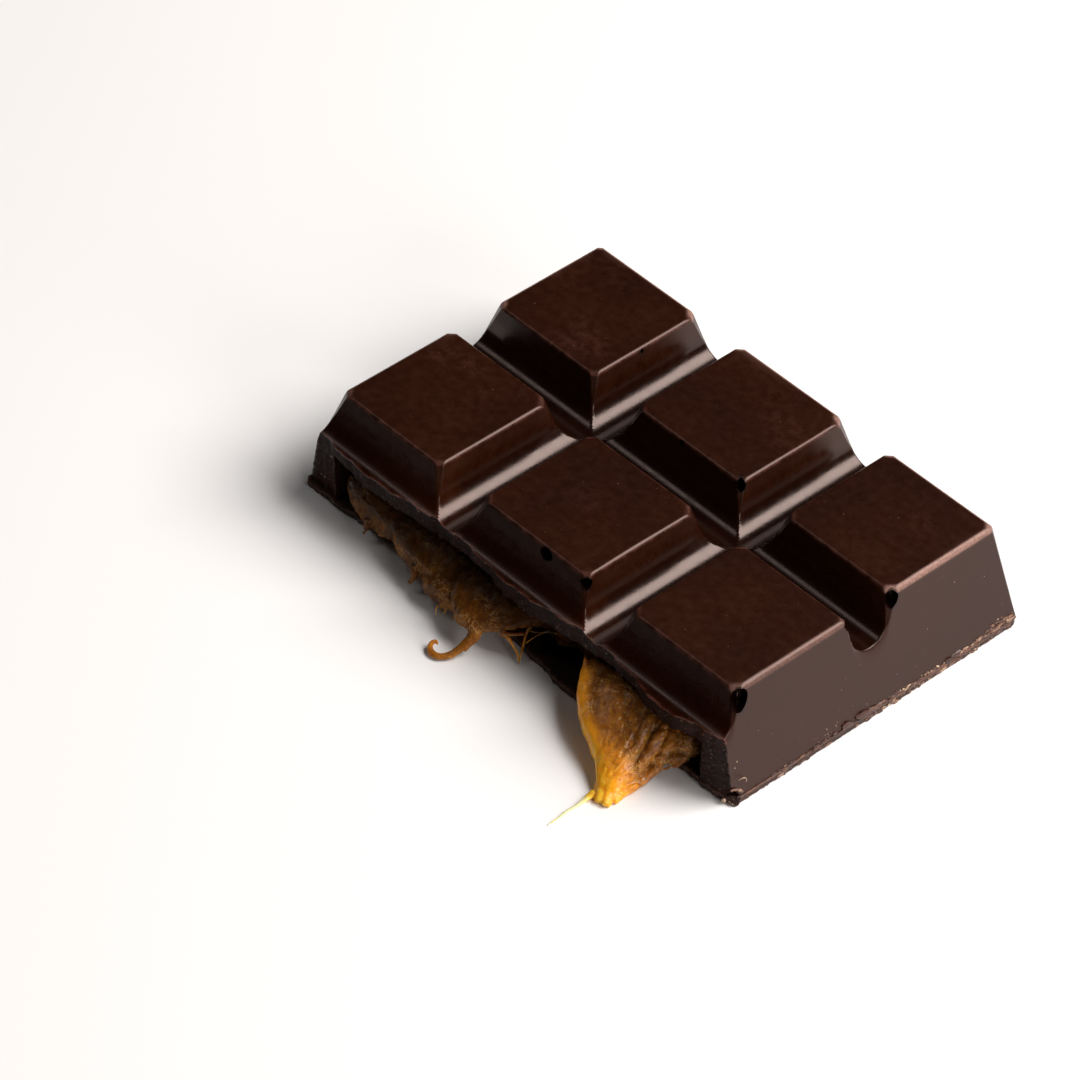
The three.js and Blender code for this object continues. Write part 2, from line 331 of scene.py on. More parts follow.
def chocolate_moulded():
    m, nt, b = material("chocolate_moulded")
    g = Graph(nt)
    broad = g.noise(75, 3)
    mottle = g.noise(850, 5, 0.62)
    fine = g.noise(5200, 3, 0.6)
    edge, rub_and_highlight, wall, groove = (g.attr(n) for n in ("edge", "rub_and_highlight", "wall", "groove"))
    tone = g.math("ADD", g.math("MULTIPLY", broad, 0.6), g.math("MULTIPLY", mottle, 0.4))
    top = g.ramp(
        tone,
        [
            (0.34, (0.0118, 0.0021, 0.0004)),
            (0.50, (0.0176, 0.0034, 0.0006)),
            (0.66, (0.0250, 0.0060, 0.0016)),
        ],
    )
    # painted sheen: the outer walls get a lighter, greyer colour than the tops, standing in for the bright table they
    # reflect
    side = g.ramp(
        tone,
        [
            (0.34, (0.0170, 0.0038, 0.0014)),
            (0.66, (0.0245, 0.0062, 0.0028)),
        ],
    )
    body = g.mix(wall, top, side)
    # painted highlight: a lighter reddish colour along the squares' rims
    lit = g.math("MULTIPLY", edge, g.map(mottle, 0.40, 0.60, 0.10, 0.75), clamp=True)
    body = g.mix(lit, body, (0.075, 0.026, 0.018))
    # partly real wear and partly a painted highlight: a pale pink strip on the rims by the outer walls
    worn_and_highlight = g.math("MULTIPLY", rub_and_highlight, g.map(g.noise(3000, 3, 0.7), 0.36, 0.62, 0.55, 1.0), clamp=True)
    body = g.mix(worn_and_highlight, body, (0.26, 0.145, 0.115))
    # painted shade: the lower flanks and floors of the grooves are darkened towards black as if in shade
    body = g.mix(g.math("MULTIPLY", g.attr("painted_shade"), 0.62), body, (0.004, 0.0014, 0.0009))
    body = g.mix(g.math("MULTIPLY", g.attr("torn"), g.map(mottle, 0.38, 0.60, 0.15, 0.9), clamp=True), body, (0.10, 0.030, 0.020))
    # painted shade: the insides of the bubble pits are darkened almost to black
    body = g.mix(g.math("MULTIPLY", g.attr("hollow"), 0.8), body, (0.004, 0.0012, 0.0008))
    g.link(body, b.inputs["Base Color"])
    rough = g.math("ADD", g.map(mottle, 0.3, 0.7, 0.33, 0.42), g.math("MULTIPLY", groove, -0.15))
    rough = g.math("ADD", rough, g.math("MULTIPLY", rub_and_highlight, 0.10))
    rough = g.math("ADD", rough, g.math("MULTIPLY", wall, -0.06))
    g.link(rough, b.inputs["Roughness"])
    g.link(g.map(wall, 0.0, 1.0, 0.44, 0.34), b.inputs["Specular IOR Level"])
    b.inputs["Specular Tint"].default_value = (1.0, 0.78, 0.71, 1)
    first = g.bump(mottle, 0.14, 0.00006)
    g.link(g.bump(fine, 0.10, 0.00003, first), b.inputs["Normal"])
    return m


def chocolate_broken():
    m, nt, b = material("chocolate_broken")
    g = Graph(nt)
    mottle = g.noise(1500, 6, 0.7)
    coarse = g.noise(260, 4, 0.6)
    tone = g.math("ADD", g.math("MULTIPLY", mottle, 0.65), g.math("MULTIPLY", coarse, 0.35))
    g.link(
        g.ramp(
            tone,
            [
                (0.36, (0.0078, 0.0014, 0.0006)),
                (0.54, (0.0175, 0.0036, 0.0018)),
                (0.63, (0.048, 0.0130, 0.0078)),
                (0.76, (0.18, 0.0750, 0.0500)),
            ],
        ),
        b.inputs["Base Color"],
    )
    g.link(g.map(mottle, 0.3, 0.7, 0.42, 0.7), b.inputs["Roughness"])
    b.inputs["Specular IOR Level"].default_value = 0.14
    first = g.bump(mottle, 0.6, 0.00018)
    g.link(g.bump(g.noise(6000, 3, 0.6), 0.3, 0.00006, first), b.inputs["Normal"])
    return m


def base_chocolate():
    m, nt, b = material("base_chocolate")
    g = Graph(nt)
    mottle = g.noise(1300, 6, 0.7)
    crumb = g.attr("crumb")
    tone = g.ramp(
        mottle,
        [
            (0.32, (0.0120, 0.0038, 0.0022)),
            (0.55, (0.0240, 0.0082, 0.0052)),
            (0.75, (0.0440, 0.0180, 0.0120)),
        ],
    )
    copper = g.mix(g.math("MULTIPLY", crumb, g.map(mottle, 0.4, 0.6, 0.2, 1.0), clamp=True), tone, (0.15, 0.062, 0.034))
    g.link(copper, b.inputs["Base Color"])
    g.link(g.map(mottle, 0.3, 0.7, 0.40, 0.62), b.inputs["Roughness"])
    b.inputs["Specular IOR Level"].default_value = 0.35
    first = g.bump(mottle, 0.45, 0.00014)
    g.link(g.bump(g.noise(6000, 3, 0.6), 0.25, 0.00005, first), b.inputs["Normal"])
    return m


def crumb_chocolate():
    m, nt, b = material("crumb_chocolate")
    g = Graph(nt)
    shade = g.attr("shade")
    tone = g.ramp(
        shade,
        [
            (0.0, (0.020, 0.0068, 0.0040)),
            (0.4, (0.060, 0.0230, 0.0140)),
            (0.75, (0.22, 0.105, 0.062)),
            (1.0, (0.62, 0.45, 0.30)),
        ],
    )
    speck = g.noise(2600, 4, 0.7)
    g.link(g.mix(g.map(speck, 0.35, 0.65, 0.0, 0.45), tone, (0.035, 0.013, 0.008)), b.inputs["Base Color"])
    g.link(g.map(speck, 0.3, 0.7, 0.3, 0.6), b.inputs["Roughness"])
    g.link(g.bump(speck, 0.4, 0.00008), b.inputs["Normal"])
    return m


def amber_filling():
    m, nt, b = material("amber_filling")
    g = Graph(nt)
    thin_and_glow, fibre, painted_shade = (g.attr(n) for n in ("thin_and_glow", "fibre", "painted_shade"))
    mottle = g.noise(620, 5, 0.62)
    speck = g.noise(2400, 4, 0.65)
    # paleness of the filling: partly its real thinness, partly painted glow of light shining through the thin sheet
    level = g.math("ADD", thin_and_glow, g.map(mottle, 0.3, 0.7, -0.08, 0.08), clamp=True)
    body = g.ramp(
        level,
        [
            (0.0, (0.110, 0.036, 0.007)),
            (0.25, (0.30, 0.105, 0.014)),
            (0.50, (0.70, 0.27, 0.02)),
            (0.75, (1.0, 0.42, 0.016)),
            (0.90, (1.0, 0.54, 0.035)),
            (1.0, (1.0, 0.81, 0.44)),
        ],
    )
    strand = g.math("MULTIPLY", g.map(fibre, 0.55, 0.95, 0.0, 1.0), g.map(speck, 0.38, 0.62, 0.1, 0.60), clamp=True)
    light = g.mix(g.math("MULTIPLY", strand, g.map(thin_and_glow, 0.0, 0.5, 0.35, 0.9)), body, (0.96, 0.41, 0.035))
    darken = g.math("MULTIPLY", g.map(speck, 0.30, 0.50, 0.35, 0.0), g.map(thin_and_glow, 0.5, 0.8, 1.0, 0.1))
    dark = g.mix(darken, light, (0.13, 0.042, 0.008))
    # Small pale curls: painted glints, which the bump below also raises.
    line = g.map(g.math("ABSOLUTE", g.math("SUBTRACT", g.noise(1500, 2, 0.5), 0.5)), 0.0, 0.075, 1.0, 0.0)
    painted_glint_curls = g.math("MULTIPLY", line, g.map(g.noise(430, 3), 0.50, 0.60, 0.0, 1.0))
    painted_glint_curls = g.math("MULTIPLY", painted_glint_curls, g.map(thin_and_glow, 0.45, 0.75, 1.0, 0.15))
    dark = g.mix(g.math("MULTIPLY", painted_glint_curls, 0.38), dark, (1.0, 0.60, 0.24))
    # painted shade: where the filling lies under the shell or inside the break it is darkened towards black-brown as if
    # in shadow
    g.link(g.mix(g.math("MULTIPLY", painted_shade, 0.85), dark, (0.016, 0.005, 0.0018)), b.inputs["Base Color"])
    b.inputs["Subsurface Weight"].default_value = 0.85
    b.inputs["Subsurface Radius"].default_value = (1.0, 0.6, 0.25)
    b.inputs["Subsurface Scale"].default_value = 0.0012
    rough = g.math("ADD", g.map(mottle, 0.3, 0.7, 0.12, 0.26), g.math("MULTIPLY", painted_shade, 0.06))
    g.link(rough, b.inputs["Roughness"])
    g.link(g.map(painted_shade, 0.0, 0.5, 0.35, 0.09), b.inputs["Specular IOR Level"])
    b.inputs["Coat Weight"].default_value = 0.05
    b.inputs["Coat Roughness"].default_value = 0.15
    first = g.bump(mottle, 0.30, 0.00016)
    beads = g.math("MULTIPLY", g.map(g.voronoi(1700), 0.0, 0.45, 1.0, 0.0), g.map(g.noise(420, 3), 0.50, 0.66, 0.0, 1.0))
    first = g.bump(g.math("ADD", beads, painted_glint_curls), 0.9, 0.00016, first)
    g.link(g.bump(speck, 0.45, 0.00010, first), b.inputs["Normal"])
    return m


CRUMB = crumb_chocolate()
MOULDED = chocolate_moulded()
BROKEN = chocolate_broken()
BASE = base_chocolate()
AMBER = amber_filling()


# ---------------------------------------------------------------- the moulded top
def groove_curve(half, edge=EDGE_R):
    """Half a groove from its middle out to its rim: distance from the middle, and height."""
    t, c = math.tan(DRAFT), math.cos(DRAFT)
    r = ((half - t * DEPTH) * c) / (1 - t * c)
    mid = GROOVE_Z + r
    a = np.linspace(0, math.pi / 2 - DRAFT, 80)
    d = list(r * np.sin(a))
    z = list(mid - r * np.cos(a))
    # The rim's rounding, tangent to the flank and to the flat top.
    turn = math.pi / 2 - DRAFT
    run = edge * math.tan(turn / 2)
    cx, cz = half + run, TOP - edge
    b = np.linspace(math.pi - DRAFT, math.pi / 2, 24)
    d += list(cx + edge * np.cos(b))
    z += list(cz + edge * np.sin(b))
    return np.array(d), np.array(z)


def wall_curve(base, top, edge=WALL_R):
    """A sloping outer wall from the table up over its rounded rim, outermost first."""
    slope = (base - top) / TOP
    lean = math.atan(slope)
    turn = math.pi / 2 - lean
    run = edge * math.tan(turn / 2)
    cx, cz = top - run, TOP - edge
    b = np.linspace(lean, math.pi / 2, 24)
    x = [base] + list(cx + edge * np.cos(b))
    z = [0.0] + list(cz + edge * np.sin(b))
    return np.array(x), np.array(z)


LEVELS = np.concatenate(
    [
        TOP - np.array([0.0, 0.006, 0.022, 0.05, 0.09, 0.14, 0.20, 0.27, 0.36, 0.47, 0.6]),
        np.arange(TOP - 0.78, GROOVE_Z + 0.75, -0.32),
        GROOVE_Z + np.array([0.62, 0.45, 0.30, 0.17, 0.08, 0.02, 0.0]),
    ]
)
WALL_LEVELS = np.concatenate([LEVELS, GROOVE_Z - np.array([0.12, 0.30, 0.52, 0.80]), np.arange(GROOVE_Z - 1.2, SEAM + 0.3, -0.8), [SEAM]])
GROOVE_D, GROOVE_H = groove_curve(GROOVE_HALF)
END_TOP = PITCH + TOP_HALF_END
FAR_TOP = ROW_Y[1] + TOP_HALF_FAR
END_X, END_H = wall_curve(END_HALF, END_TOP)
FAR_X, FAR_H = wall_curve(FAR_Y, FAR_TOP)


def groove_height(d):
    return np.interp(np.abs(d), GROOVE_D, GROOVE_H)


def wall_height(x, curve_x, curve_h):
    return np.interp(-x, -curve_x, curve_h)


def profile_x(x):
    z = np.minimum(groove_height(x - PITCH / 2), groove_height(x + PITCH / 2))
    return np.minimum(z, wall_height(np.abs(x), END_X, END_H))


GROOVE_YS = ((ROW_Y[0] + ROW_Y[1]) / 2, ROW_Y[0] - PITCH / 2)


def profile_y(y):
    z = np.minimum(groove_height(y - GROOVE_YS[0]), groove_height(y - GROOVE_YS[1]))
    z = np.where(y < GROOVE_YS[1], GROOVE_Z, z)
    return np.minimum(z, wall_height(y, FAR_X, FAR_H))


def corner_curves():
    """Each square's cut-off upright corners. A corner's cut is level-wise: at height h the
    square ends at U(h) and V(h) out from its middle, and the cut takes w(h) off the sum."""
    h = np.linspace(SEAM, TOP, 160)

    def groove_out(h):
        return PITCH / 2 - np.interp(h, GROOVE_H, GROOVE_D)

    def wall_out(h, cx, ch, middle):
        return np.interp(h, ch, cx) - middle

    low = GROOVE_Z + 0.35
    found = []
    for i in range(3):
        for row, y in enumerate(ROW_Y):
            for sx in (-1, 1):
                for sy in (-1, 1):
                    ox = (i == 0 and sx < 0) or (i == 2 and sx > 0)
                    oy = row == 1 and sy > 0
                    u = wall_out(h, END_X, END_H, PITCH) if ox else groove_out(h)
                    v = wall_out(h, FAR_X, FAR_H, ROW_Y[1]) if oy else groove_out(h)
                    cut = CORNER_CUT * (0.55 if ox and oy else 0.3 if ox and sx > 0 and sy > 0 else 1.2 if sx > 0 and sy > 0 else 0.7 if sx > 0 and not ox else 1.0) * (1.0 if sy < 0 or sx > 0 else 0.8)
                    bottom = SEAM if ox and oy else low
                    w = cut * np.clip((h - bottom) / (TOP - bottom), 0, 1) ** 0.9
                    found.append(((i - 1) * PITCH, y, sx, sy, u + v - w, h))
    return found


CORNERS = corner_curves()


def top_height(x, y):
    """The moulded surface over arrays x and y, without its fine relief."""
    px, py = profile_x(x), profile_y(y)
    z = np.minimum(px, py)
    wall = np.minimum(wall_height(np.abs(x), END_X, END_H), wall_height(y, FAR_X, FAR_H))
    groove = np.minimum(groove_height(x - PITCH / 2), groove_height(x + PITCH / 2))
    groove = np.minimum(groove, np.minimum(groove_height(y - GROOVE_YS[0]), groove_height(y - GROOVE_YS[1])))
    groove = np.where(y < GROOVE_YS[1], GROOVE_Z, groove)
    round_off = np.maximum(LIP - np.abs(wall - groove), 0) ** 2 / (4 * LIP)
    z = z - round_off * smooth(TOP - 0.1, TOP - 1.8, np.maximum(wall, groove))
    for mx, my, sx, sy, reach, h in CORNERS:
        u, v = (x - mx) * sx, (y - my) * sy
        near = (u > 4) & (v > 4) & (u < 12.51) & (v < 12.51)
        if not near.any():
            continue
        z[near] = np.minimum(z[near], np.interp(-(u + v)[near], -reach, h))
    return z, px, py


def lines_for(curve_d, curve_h, levels):
    """Where a rising half profile crosses the levels."""
    return np.interp(levels[::-1], curve_h, curve_d)[::-1]


def build_lines():
    flank = np.unique(np.round(lines_for(GROOVE_D, GROOVE_H, LEVELS), 5))
    end = np.unique(np.round(np.interp(WALL_LEVELS, END_H, END_X), 5))
    far = np.unique(np.round(np.interp(WALL_LEVELS, FAR_H, FAR_X), 5))
    rim = flank.max()

    def tops(a, b):
        """Lines over a flat top between two rims, closer together by the rims."""
        half = (b - a) / 2
        d = np.array([0.12, 0.28, 0.48, 0.74, 1.06, 1.45, 1.9])
        d = np.concatenate([d, np.arange(2.45, half - 0.2, 0.6)])
        d = d[d < half]
        return np.concatenate([a + d, [(a + b) / 2], b - d[::-1]])

    xs = []
    for c in (-PITCH / 2, PITCH / 2):
        xs += list(c + flank) + list(c - flank)
    xs += list(end) + list(-end)
    xs += list(tops(-PITCH / 2 + rim, PITCH / 2 - rim))
    side = tops(PITCH / 2 + rim, end.min())
    xs += list(side) + list(-side)
    ys = list(GROOVE_YS[0] + flank) + list(GROOVE_YS[0] - flank)
    ys += list(GROOVE_YS[1] + flank) + [GROOVE_YS[1] - 1.0, GROOVE_YS[1] - 2.2]
    ys += list(far)
    ys += list(tops(GROOVE_YS[1] + rim, GROOVE_YS[0] - rim))
    ys += list(tops(GROOVE_YS[0] + rim, far.min()))
    return np.unique(np.round(xs, 4)), np.unique(np.round(ys, 4))


def relief(x, y, z):
    """Slight unevenness of the moulded surface."""
    p = np.stack([x, y, z], -1).reshape(-1, 3)
    r = 0.030 * noise(p, 7.0, 3) + 0.012 * noise(p, 2.2, 5)
    return r.reshape(np.shape(x))


def build_shell():
    xs, ys = build_lines()
    gx, gy = np.meshgrid(xs, ys, indexing="ij")
    z, px, py = top_height(gx.ravel(), gy.ravel())
    z, px, py = (a.reshape(gx.shape) for a in (z, px, py))
    flat = smooth(TOP - 0.05, TOP, z)
    z = z + relief(gx, gy, z) * flat * 0.7
    z = np.maximum(z, SEAM)
    nx, ny = gx.shape
    # Triangles follow the ridges: the split joins the two corners where the profiles agree.
    diff = np.abs(px - py)
    verts = np.stack([gx, gy, z], -1).reshape(-1, 3)
    a = (np.arange(nx - 1)[:, None] * ny + np.arange(ny - 1)[None, :]).ravel()
    b, c, d = a + ny, a + ny + 1, a + 1
    df = diff.ravel()
    first = df[a] + df[c] <= df[b] + df[d]
    tris = np.concatenate(
        [
            np.stack([a, b, c], -1)[first],
            np.stack([a, c, d], -1)[first],
            np.stack([a, b, d], -1)[~first],
            np.stack([b, c, d], -1)[~first],
        ]
    )
    n = len(verts)
    # The underside sits at the seam: a skirt at the front, and one flat face below.
    front = [i * ny for i in range(nx)]
    low = verts[front].copy()
    low[:, 2] = SEAM
    verts = np.concatenate([verts, low])
    faces = tris.tolist()
    for i in range(1, nx - 2):
        faces.append([front[i], n + i, n + i + 1, front[i + 1]])
    # At both ends the front column is already at the seam's level.
    verts[n] = verts[front[0]]
    verts[n + nx - 1] = verts[front[-1]]
    faces.append([front[0], n + 1, front[1]])
    faces.append([front[nx - 2], n + nx - 2, front[-1]])
    ring = [front[0]] + [n + i for i in range(1, nx - 1)] + [front[-1]]
    ring += [(nx - 1) * ny + j for j in range(1, ny)]
    ring += [i * ny + ny - 1 for i in range(nx - 2, -1, -1)]
    ring += [j for j in range(ny - 2, 0, -1)]
    faces.append(ring[::-1])
    keep = np.ones(len(verts), bool)
    keep[[n, n + nx - 1]] = False
    index = np.cumsum(keep) - 1
    faces = [[int(index[v]) for v in f] for f in faces]
    obj = make_object("moulded", verts[keep], faces)
    outward(obj)
    return obj


def break_line(x):
    x = np.asarray(x, float)
    return (
        BREAK_Y
        - BREAK_WAVE * np.cos(2 * math.pi * x / PITCH)
        - BREAK_BULGE * np.exp(-(((x - 25.5) / 3.2) ** 2))
        + 0.12 * np.sin(x * 1.3 + 0.4)
        + 0.05 * np.sin(x * 3.1 + 1.1)
    )


def break_surface(x, z):
    p = np.stack([x, z, np.zeros_like(x)], -1).reshape(-1, 3)
    y = break_line(x).ravel()
    depth = (GROOVE_Z - p[:, 1]).clip(0, 8)
    rough = 0.35 + 0.65 * smooth(0.1, 1.2, depth)
    y = y + 0.24 * rough * fractal(p * [1, 1.1, 1], 3.4, 4, 0.6, 11)
    y = y + 0.09 * rough * fractal(p, 0.9, 3, 0.7, 23)
    y = y + 0.06 * rough * noise(p, 0.36, 41)
    # Below the groove's edge the face leans back a little.
    y = y + 0.06 * depth
    return y.reshape(np.shape(x))


def build_break_cutter():
    xs = np.arange(-38, 38.01, 0.2)
    zs = np.concatenate([[-1.0], np.arange(1.0, 10.6, 0.17), [12.0, 17.0]])
    gx, gz = np.meshgrid(xs, zs, indexing="ij")
    gy = break_surface(gx, gz)
    n = gx.size
    face = np.stack([gx, gy, gz], -1).reshape(-1, 3)
    back = face.copy()
    back[:, 1] = -48
    nx, nz = gx.shape
    faces = grid_faces(nx, nz).tolist()
    # One far face and four sides close it.
    left = [j for j in range(nz)]
    right = [(nx - 1) * nz + j for j in range(nz)]
    low = [i * nz for i in range(nx)]
    high = [i * nz + nz - 1 for i in range(nx)]
    corner = [left[0] + n, right[0] + n, right[-1] + n, left[-1] + n]
    used = {v: k for k, v in enumerate(corner)}
    verts = np.concatenate([face, back[[v - n for v in corner]]])
    lb, rb, rt, lt = n, n + 1, n + 2, n + 3
    faces.append([lb, rb, rt, lt])
    faces.append(left[::-1] + [lb, lt])
    faces.append(right + [rt, rb])
    faces.append(low + [rb, lb])
    faces.append(high[::-1] + [lt, rt])
    obj = make_object("break_cutter", verts, faces)
    outward(obj)
    return obj


def ceiling(x, y):
    """Underside of the top shell: it rises a little into each square of the broken row."""
    z = CEILING + 0 * x
    for cx in (-PITCH, 0, PITCH):
        z = z + 0.9 * np.exp(-(((x - cx + 7) / 5.0) ** 2)) * np.exp(-(((y + 24) / 5.0) ** 2))
    p = np.stack([x, y, np.zeros_like(x)], -1).reshape(-1, 3)
    return z + (0.22 * fractal(p, 2.4, 4, 0.55, 61)).reshape(np.shape(x))


def build_cavity_cutter():
    w = END_WALL_IN
    xs = np.arange(-w, w + 0.01, 0.28)
    xs[-1] = w
    ys = np.concatenate([[-30.0], np.arange(-26, -19.5, 0.22), np.linspace(-19, FAR_WALL_IN, 16)])
    gx, gy = np.meshgrid(xs, ys, indexing="ij")
    upper = ceiling(gx, gy)
    # The side walls of the hollow wander a little.
    p = np.stack([gx, gy, gx * 0], -1).reshape(-1, 3)
    gx2 = gx + (0.35 * noise(p, 1.7, 71)).reshape(gx.shape) * smooth(w - 3, w, np.abs(gx))
    verts, faces = solid_block(xs, ys, upper, gx * 0 - 1.0)
    verts[: gx.size, 0] = gx2.ravel()
    obj = make_object("cavity_cutter", verts, faces)
    outward(obj)
    return obj


# x, y, z, radii inwards, across and upright, and the inward direction in degrees
BUBBLES = (
    (2.3, -20.9, 14.3, 1.6, 1.15, 0.9, 90),
    (8.25, -20.95, 14.05, 1.5, 0.74, 0.85, 135),
    (8.25, 4.0, 14.45, 1.3, 0.62, 0.85, 135),
    (32.9, 4.15, 13.85, 1.6, 0.8, 1.2, 135),
    (33.05, -20.7, 13.3, 1.7, 0.98, 1.65, 135),
    (-1.1, 3.55, 14.75, 0.8, 0.36, 0.36, 90),
    (-16.6, 11.3, 14.75, 0.8, 0.32, 0.34, 0),
)


def ellipsoid(centre, radii, seed, rough=0.05, detail=4):
    bm = bmesh.new()
    bmesh.ops.create_icosphere(bm, subdivisions=detail, radius=1.0)
    co = np.array([v.co for v in bm.verts])
    faces = [[v.index for v in f.verts] for f in bm.faces]
    bm.free()
    r = 1 + rough * noise(co + seed * 3.7, 0.7, seed)
    return co * r[:, None] * np.array(radii) + np.array(centre), faces


def joined(pieces):
    verts, faces, n = [], [], 0
    for v, f in pieces:
        verts.append(v)
        faces += [[k + n for k in face] for face in f]
        n += len(v)
    return np.concatenate(verts), faces


# x, y, z, radii, of the knocks at the squares' corners and rims
CHIPS = (
    (34.15, -3.75, 15.0, 0.55, 0.42, 1.5),
    (34.0, -3.2, 13.4, 0.45, 0.35, 1.3),
    (34.2, 21.1, 15.7, 1.2, 0.7, 0.6),
    (34.9, 20.7, 14.9, 0.5, 0.5, 0.6),
    (-15.8, 21.4, 15.2, 0.5, 0.7, 1.0),
    (9.3, 21.5, 15.5, 0.6, 0.7, 0.7),
    (-15.8, -3.6, 15.4, 0.5, 0.6, 0.7),
    (9.2, -3.7, 15.4, 0.5, 0.5, 0.7),
    (33.95, 11.0, 15.5, 0.22, 1.0, 0.25),
    (33.95, -15.6, 15.5, 0.22, 0.7, 0.22),
    (9.2, -9.0, 15.45, 0.2, 0.6, 0.22),
    (36.3, -24.9, 0.85, 1.6, 3.2, 1.85),
    (33.33, -3.67, 14.4, 0.55, 0.5, 0.85),
    (33.95, 20.9, 14.5, 0.35, 0.35, 0.45),
)


def build_pits():
    pieces = []
    for k, (x, y, z, a, b, c, turn) in enumerate(BUBBLES):
        v, f = ellipsoid((0, 0, 0), (a, b, c), k, 0.05, 5)
        v[:, 1] *= 1 + 0.22 * v[:, 2] / c
        t = math.radians(turn)
        v = v @ np.array([[math.cos(t), math.sin(t), 0], [-math.sin(t), math.cos(t), 0], [0, 0, 1]])
        pieces.append((v + np.array([x, y, z]), f))
    obj = make_object("pits", *joined(pieces))
    outward(obj)
    return obj


def build_chips():
    pieces = [ellipsoid(b[:3], b[3:6], 50 + k, 0.30, 4) for k, b in enumerate(CHIPS)]
    obj = make_object("chips", *joined(pieces))
    outward(obj)
    return obj


shell = build_shell()
print("moulded", len(shell.data.polygons))
boolean(shell, build_break_cutter())
print("broken", len(shell.data.polygons))
boolean(shell, build_cavity_cutter())
print("hollow", len(shell.data.polygons))
boolean(shell, build_pits())
print("pitted", len(shell.data.polygons))
boolean(shell, build_chips())
print("chipped", len(shell.data.polygons))


def finish_shell(obj):
    obj.name = obj.data.name = "shell_surface"
    mesh = obj.data
    mesh.validate()
    mesh.materials.clear()
    mesh.materials.append(MOULDED)
    mesh.materials.append(BROKEN)
    co = coords(obj)
    zt, px, py = top_height(co[:, 0].copy(), co[:, 1].copy())
    # Faces away from the moulded surface are broken or worn ones.
    count = len(mesh.polygons)
    centre = np.zeros(count * 3)
    mesh.polygons.foreach_get("center", centre)
    centre = centre.reshape(-1, 3) / MM
    zc, _, _ = top_height(centre[:, 0].copy(), centre[:, 1].copy())
    low = zc < GROOVE_Z - 0.55
    gap = np.abs(centre[:, 2] - zc)
    out = np.maximum(np.abs(centre[:, 0]) - np.interp(centre[:, 2], END_H, END_X), centre[:, 1] - np.interp(centre[:, 2], FAR_H, FAR_X))
    cut = np.where(low, out < -0.22, gap > 0.10)
    for x, y, z, a, b, c, turn in BUBBLES:
        near = (np.linalg.norm(centre[:, :2] - [x, y], axis=1) < a + 0.3) & (np.abs(centre[:, 2] - z) < c + 0.3)
        cut &= ~near
    mesh.polygons.foreach_set("material_index", cut.astype(np.int32))
    mesh.polygons.foreach_set("use_smooth", [True] * count)
    mesh.set_sharp_from_angle(angle=math.radians(50))
    top_dist = TOP - co[:, 2]
    near_wall = np.maximum(np.abs(co[:, 0]) - (END_TOP - 1.2), co[:, 1] - (FAR_TOP - 1.2))
    span = np.where(near_wall > 0, WALL_R, EDGE_R)
    # Rims of the squares: the material paints a lighter highlight colour along them.
    edge = smooth(0.0, 0.12, top_dist / span) * (1 - smooth(0.55, 1.1, top_dist / span))
    attribute(obj, "edge", edge)
    # The rims by an outer wall are worn more, and the material paints them a pale pink as a highlight too.
    row = 0.34 + 0.66 * smooth(-3.0, 6.0, co[:, 1])
    attribute(obj, "rub_and_highlight", edge * smooth(-0.2, 0.5, near_wall) * row)
    outer = np.maximum(np.abs(co[:, 0]) - np.interp(co[:, 2], END_H, END_X), co[:, 1] - np.interp(co[:, 2], FAR_H, FAR_X))
    # Outer walls: the material gives them a lighter, greyer colour as painted sheen, and less roughness.
    attribute(obj, "wall", smooth(-0.35, -0.12, outer) * smooth(0.4, 0.8, top_dist))
    # Painted shade: this marks the insides of the bubble pits, which the material darkens almost to black.
    hollow = np.zeros(len(co))
    for x, y, z, a, b, c, turn in BUBBLES:
        t = math.radians(turn)
        d = co - [x, y, z]
        d = np.stack([(d[:, 0] * math.cos(t) + d[:, 1] * math.sin(t)) / a, (-d[:, 0] * math.sin(t) + d[:, 1] * math.cos(t)) / b, d[:, 2] / c], -1)
        hollow = np.maximum(hollow, np.linalg.norm(d, axis=1) < 1.12)
    attribute(obj, "hollow", hollow)
    attribute(obj, "groove", smooth(1.2, 3.0, top_dist) * (np.minimum(px, py) > GROOVE_Z - 0.2) * (outer < -0.4))
    # Painted shade: this mask darkens the lower flanks and floors of the grooves, away from the outer walls and the
    # broken side.
    painted_shade = smooth(2.6, 5.2, top_dist) * (outer < -0.2) * (co[:, 1] > GROOVE_YS[1] + 6)
    attribute(obj, "painted_shade", painted_shade)
    torn = smooth(0.28, 0.0, co[:, 1] - break_line(co[:, 0])) * (co[:, 2] > GROOVE_Z - 0.4)
    attribute(obj, "torn", torn)
    mesh.update()


finish_shell(shell)
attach(shell, "root")
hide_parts("chocolate_shell")


# ---------------------------------------------------------------- bottom layer
def base_break(x):
    x = np.asarray(x, float)
    return (
        -23.6
        - 1.25 * np.exp(-(((x - 13) / 6) ** 2))
        - 0.75 * smooth(20, 26, x)
        + 0.4 * smooth(31, 34.5, x)
        + 0.7 * np.sin(x * 0.16 - 2.7)
        + 0.10 * np.sin(x * 1.3)
        + 0.05 * np.sin(x * 2.9 + 0.7)
    )


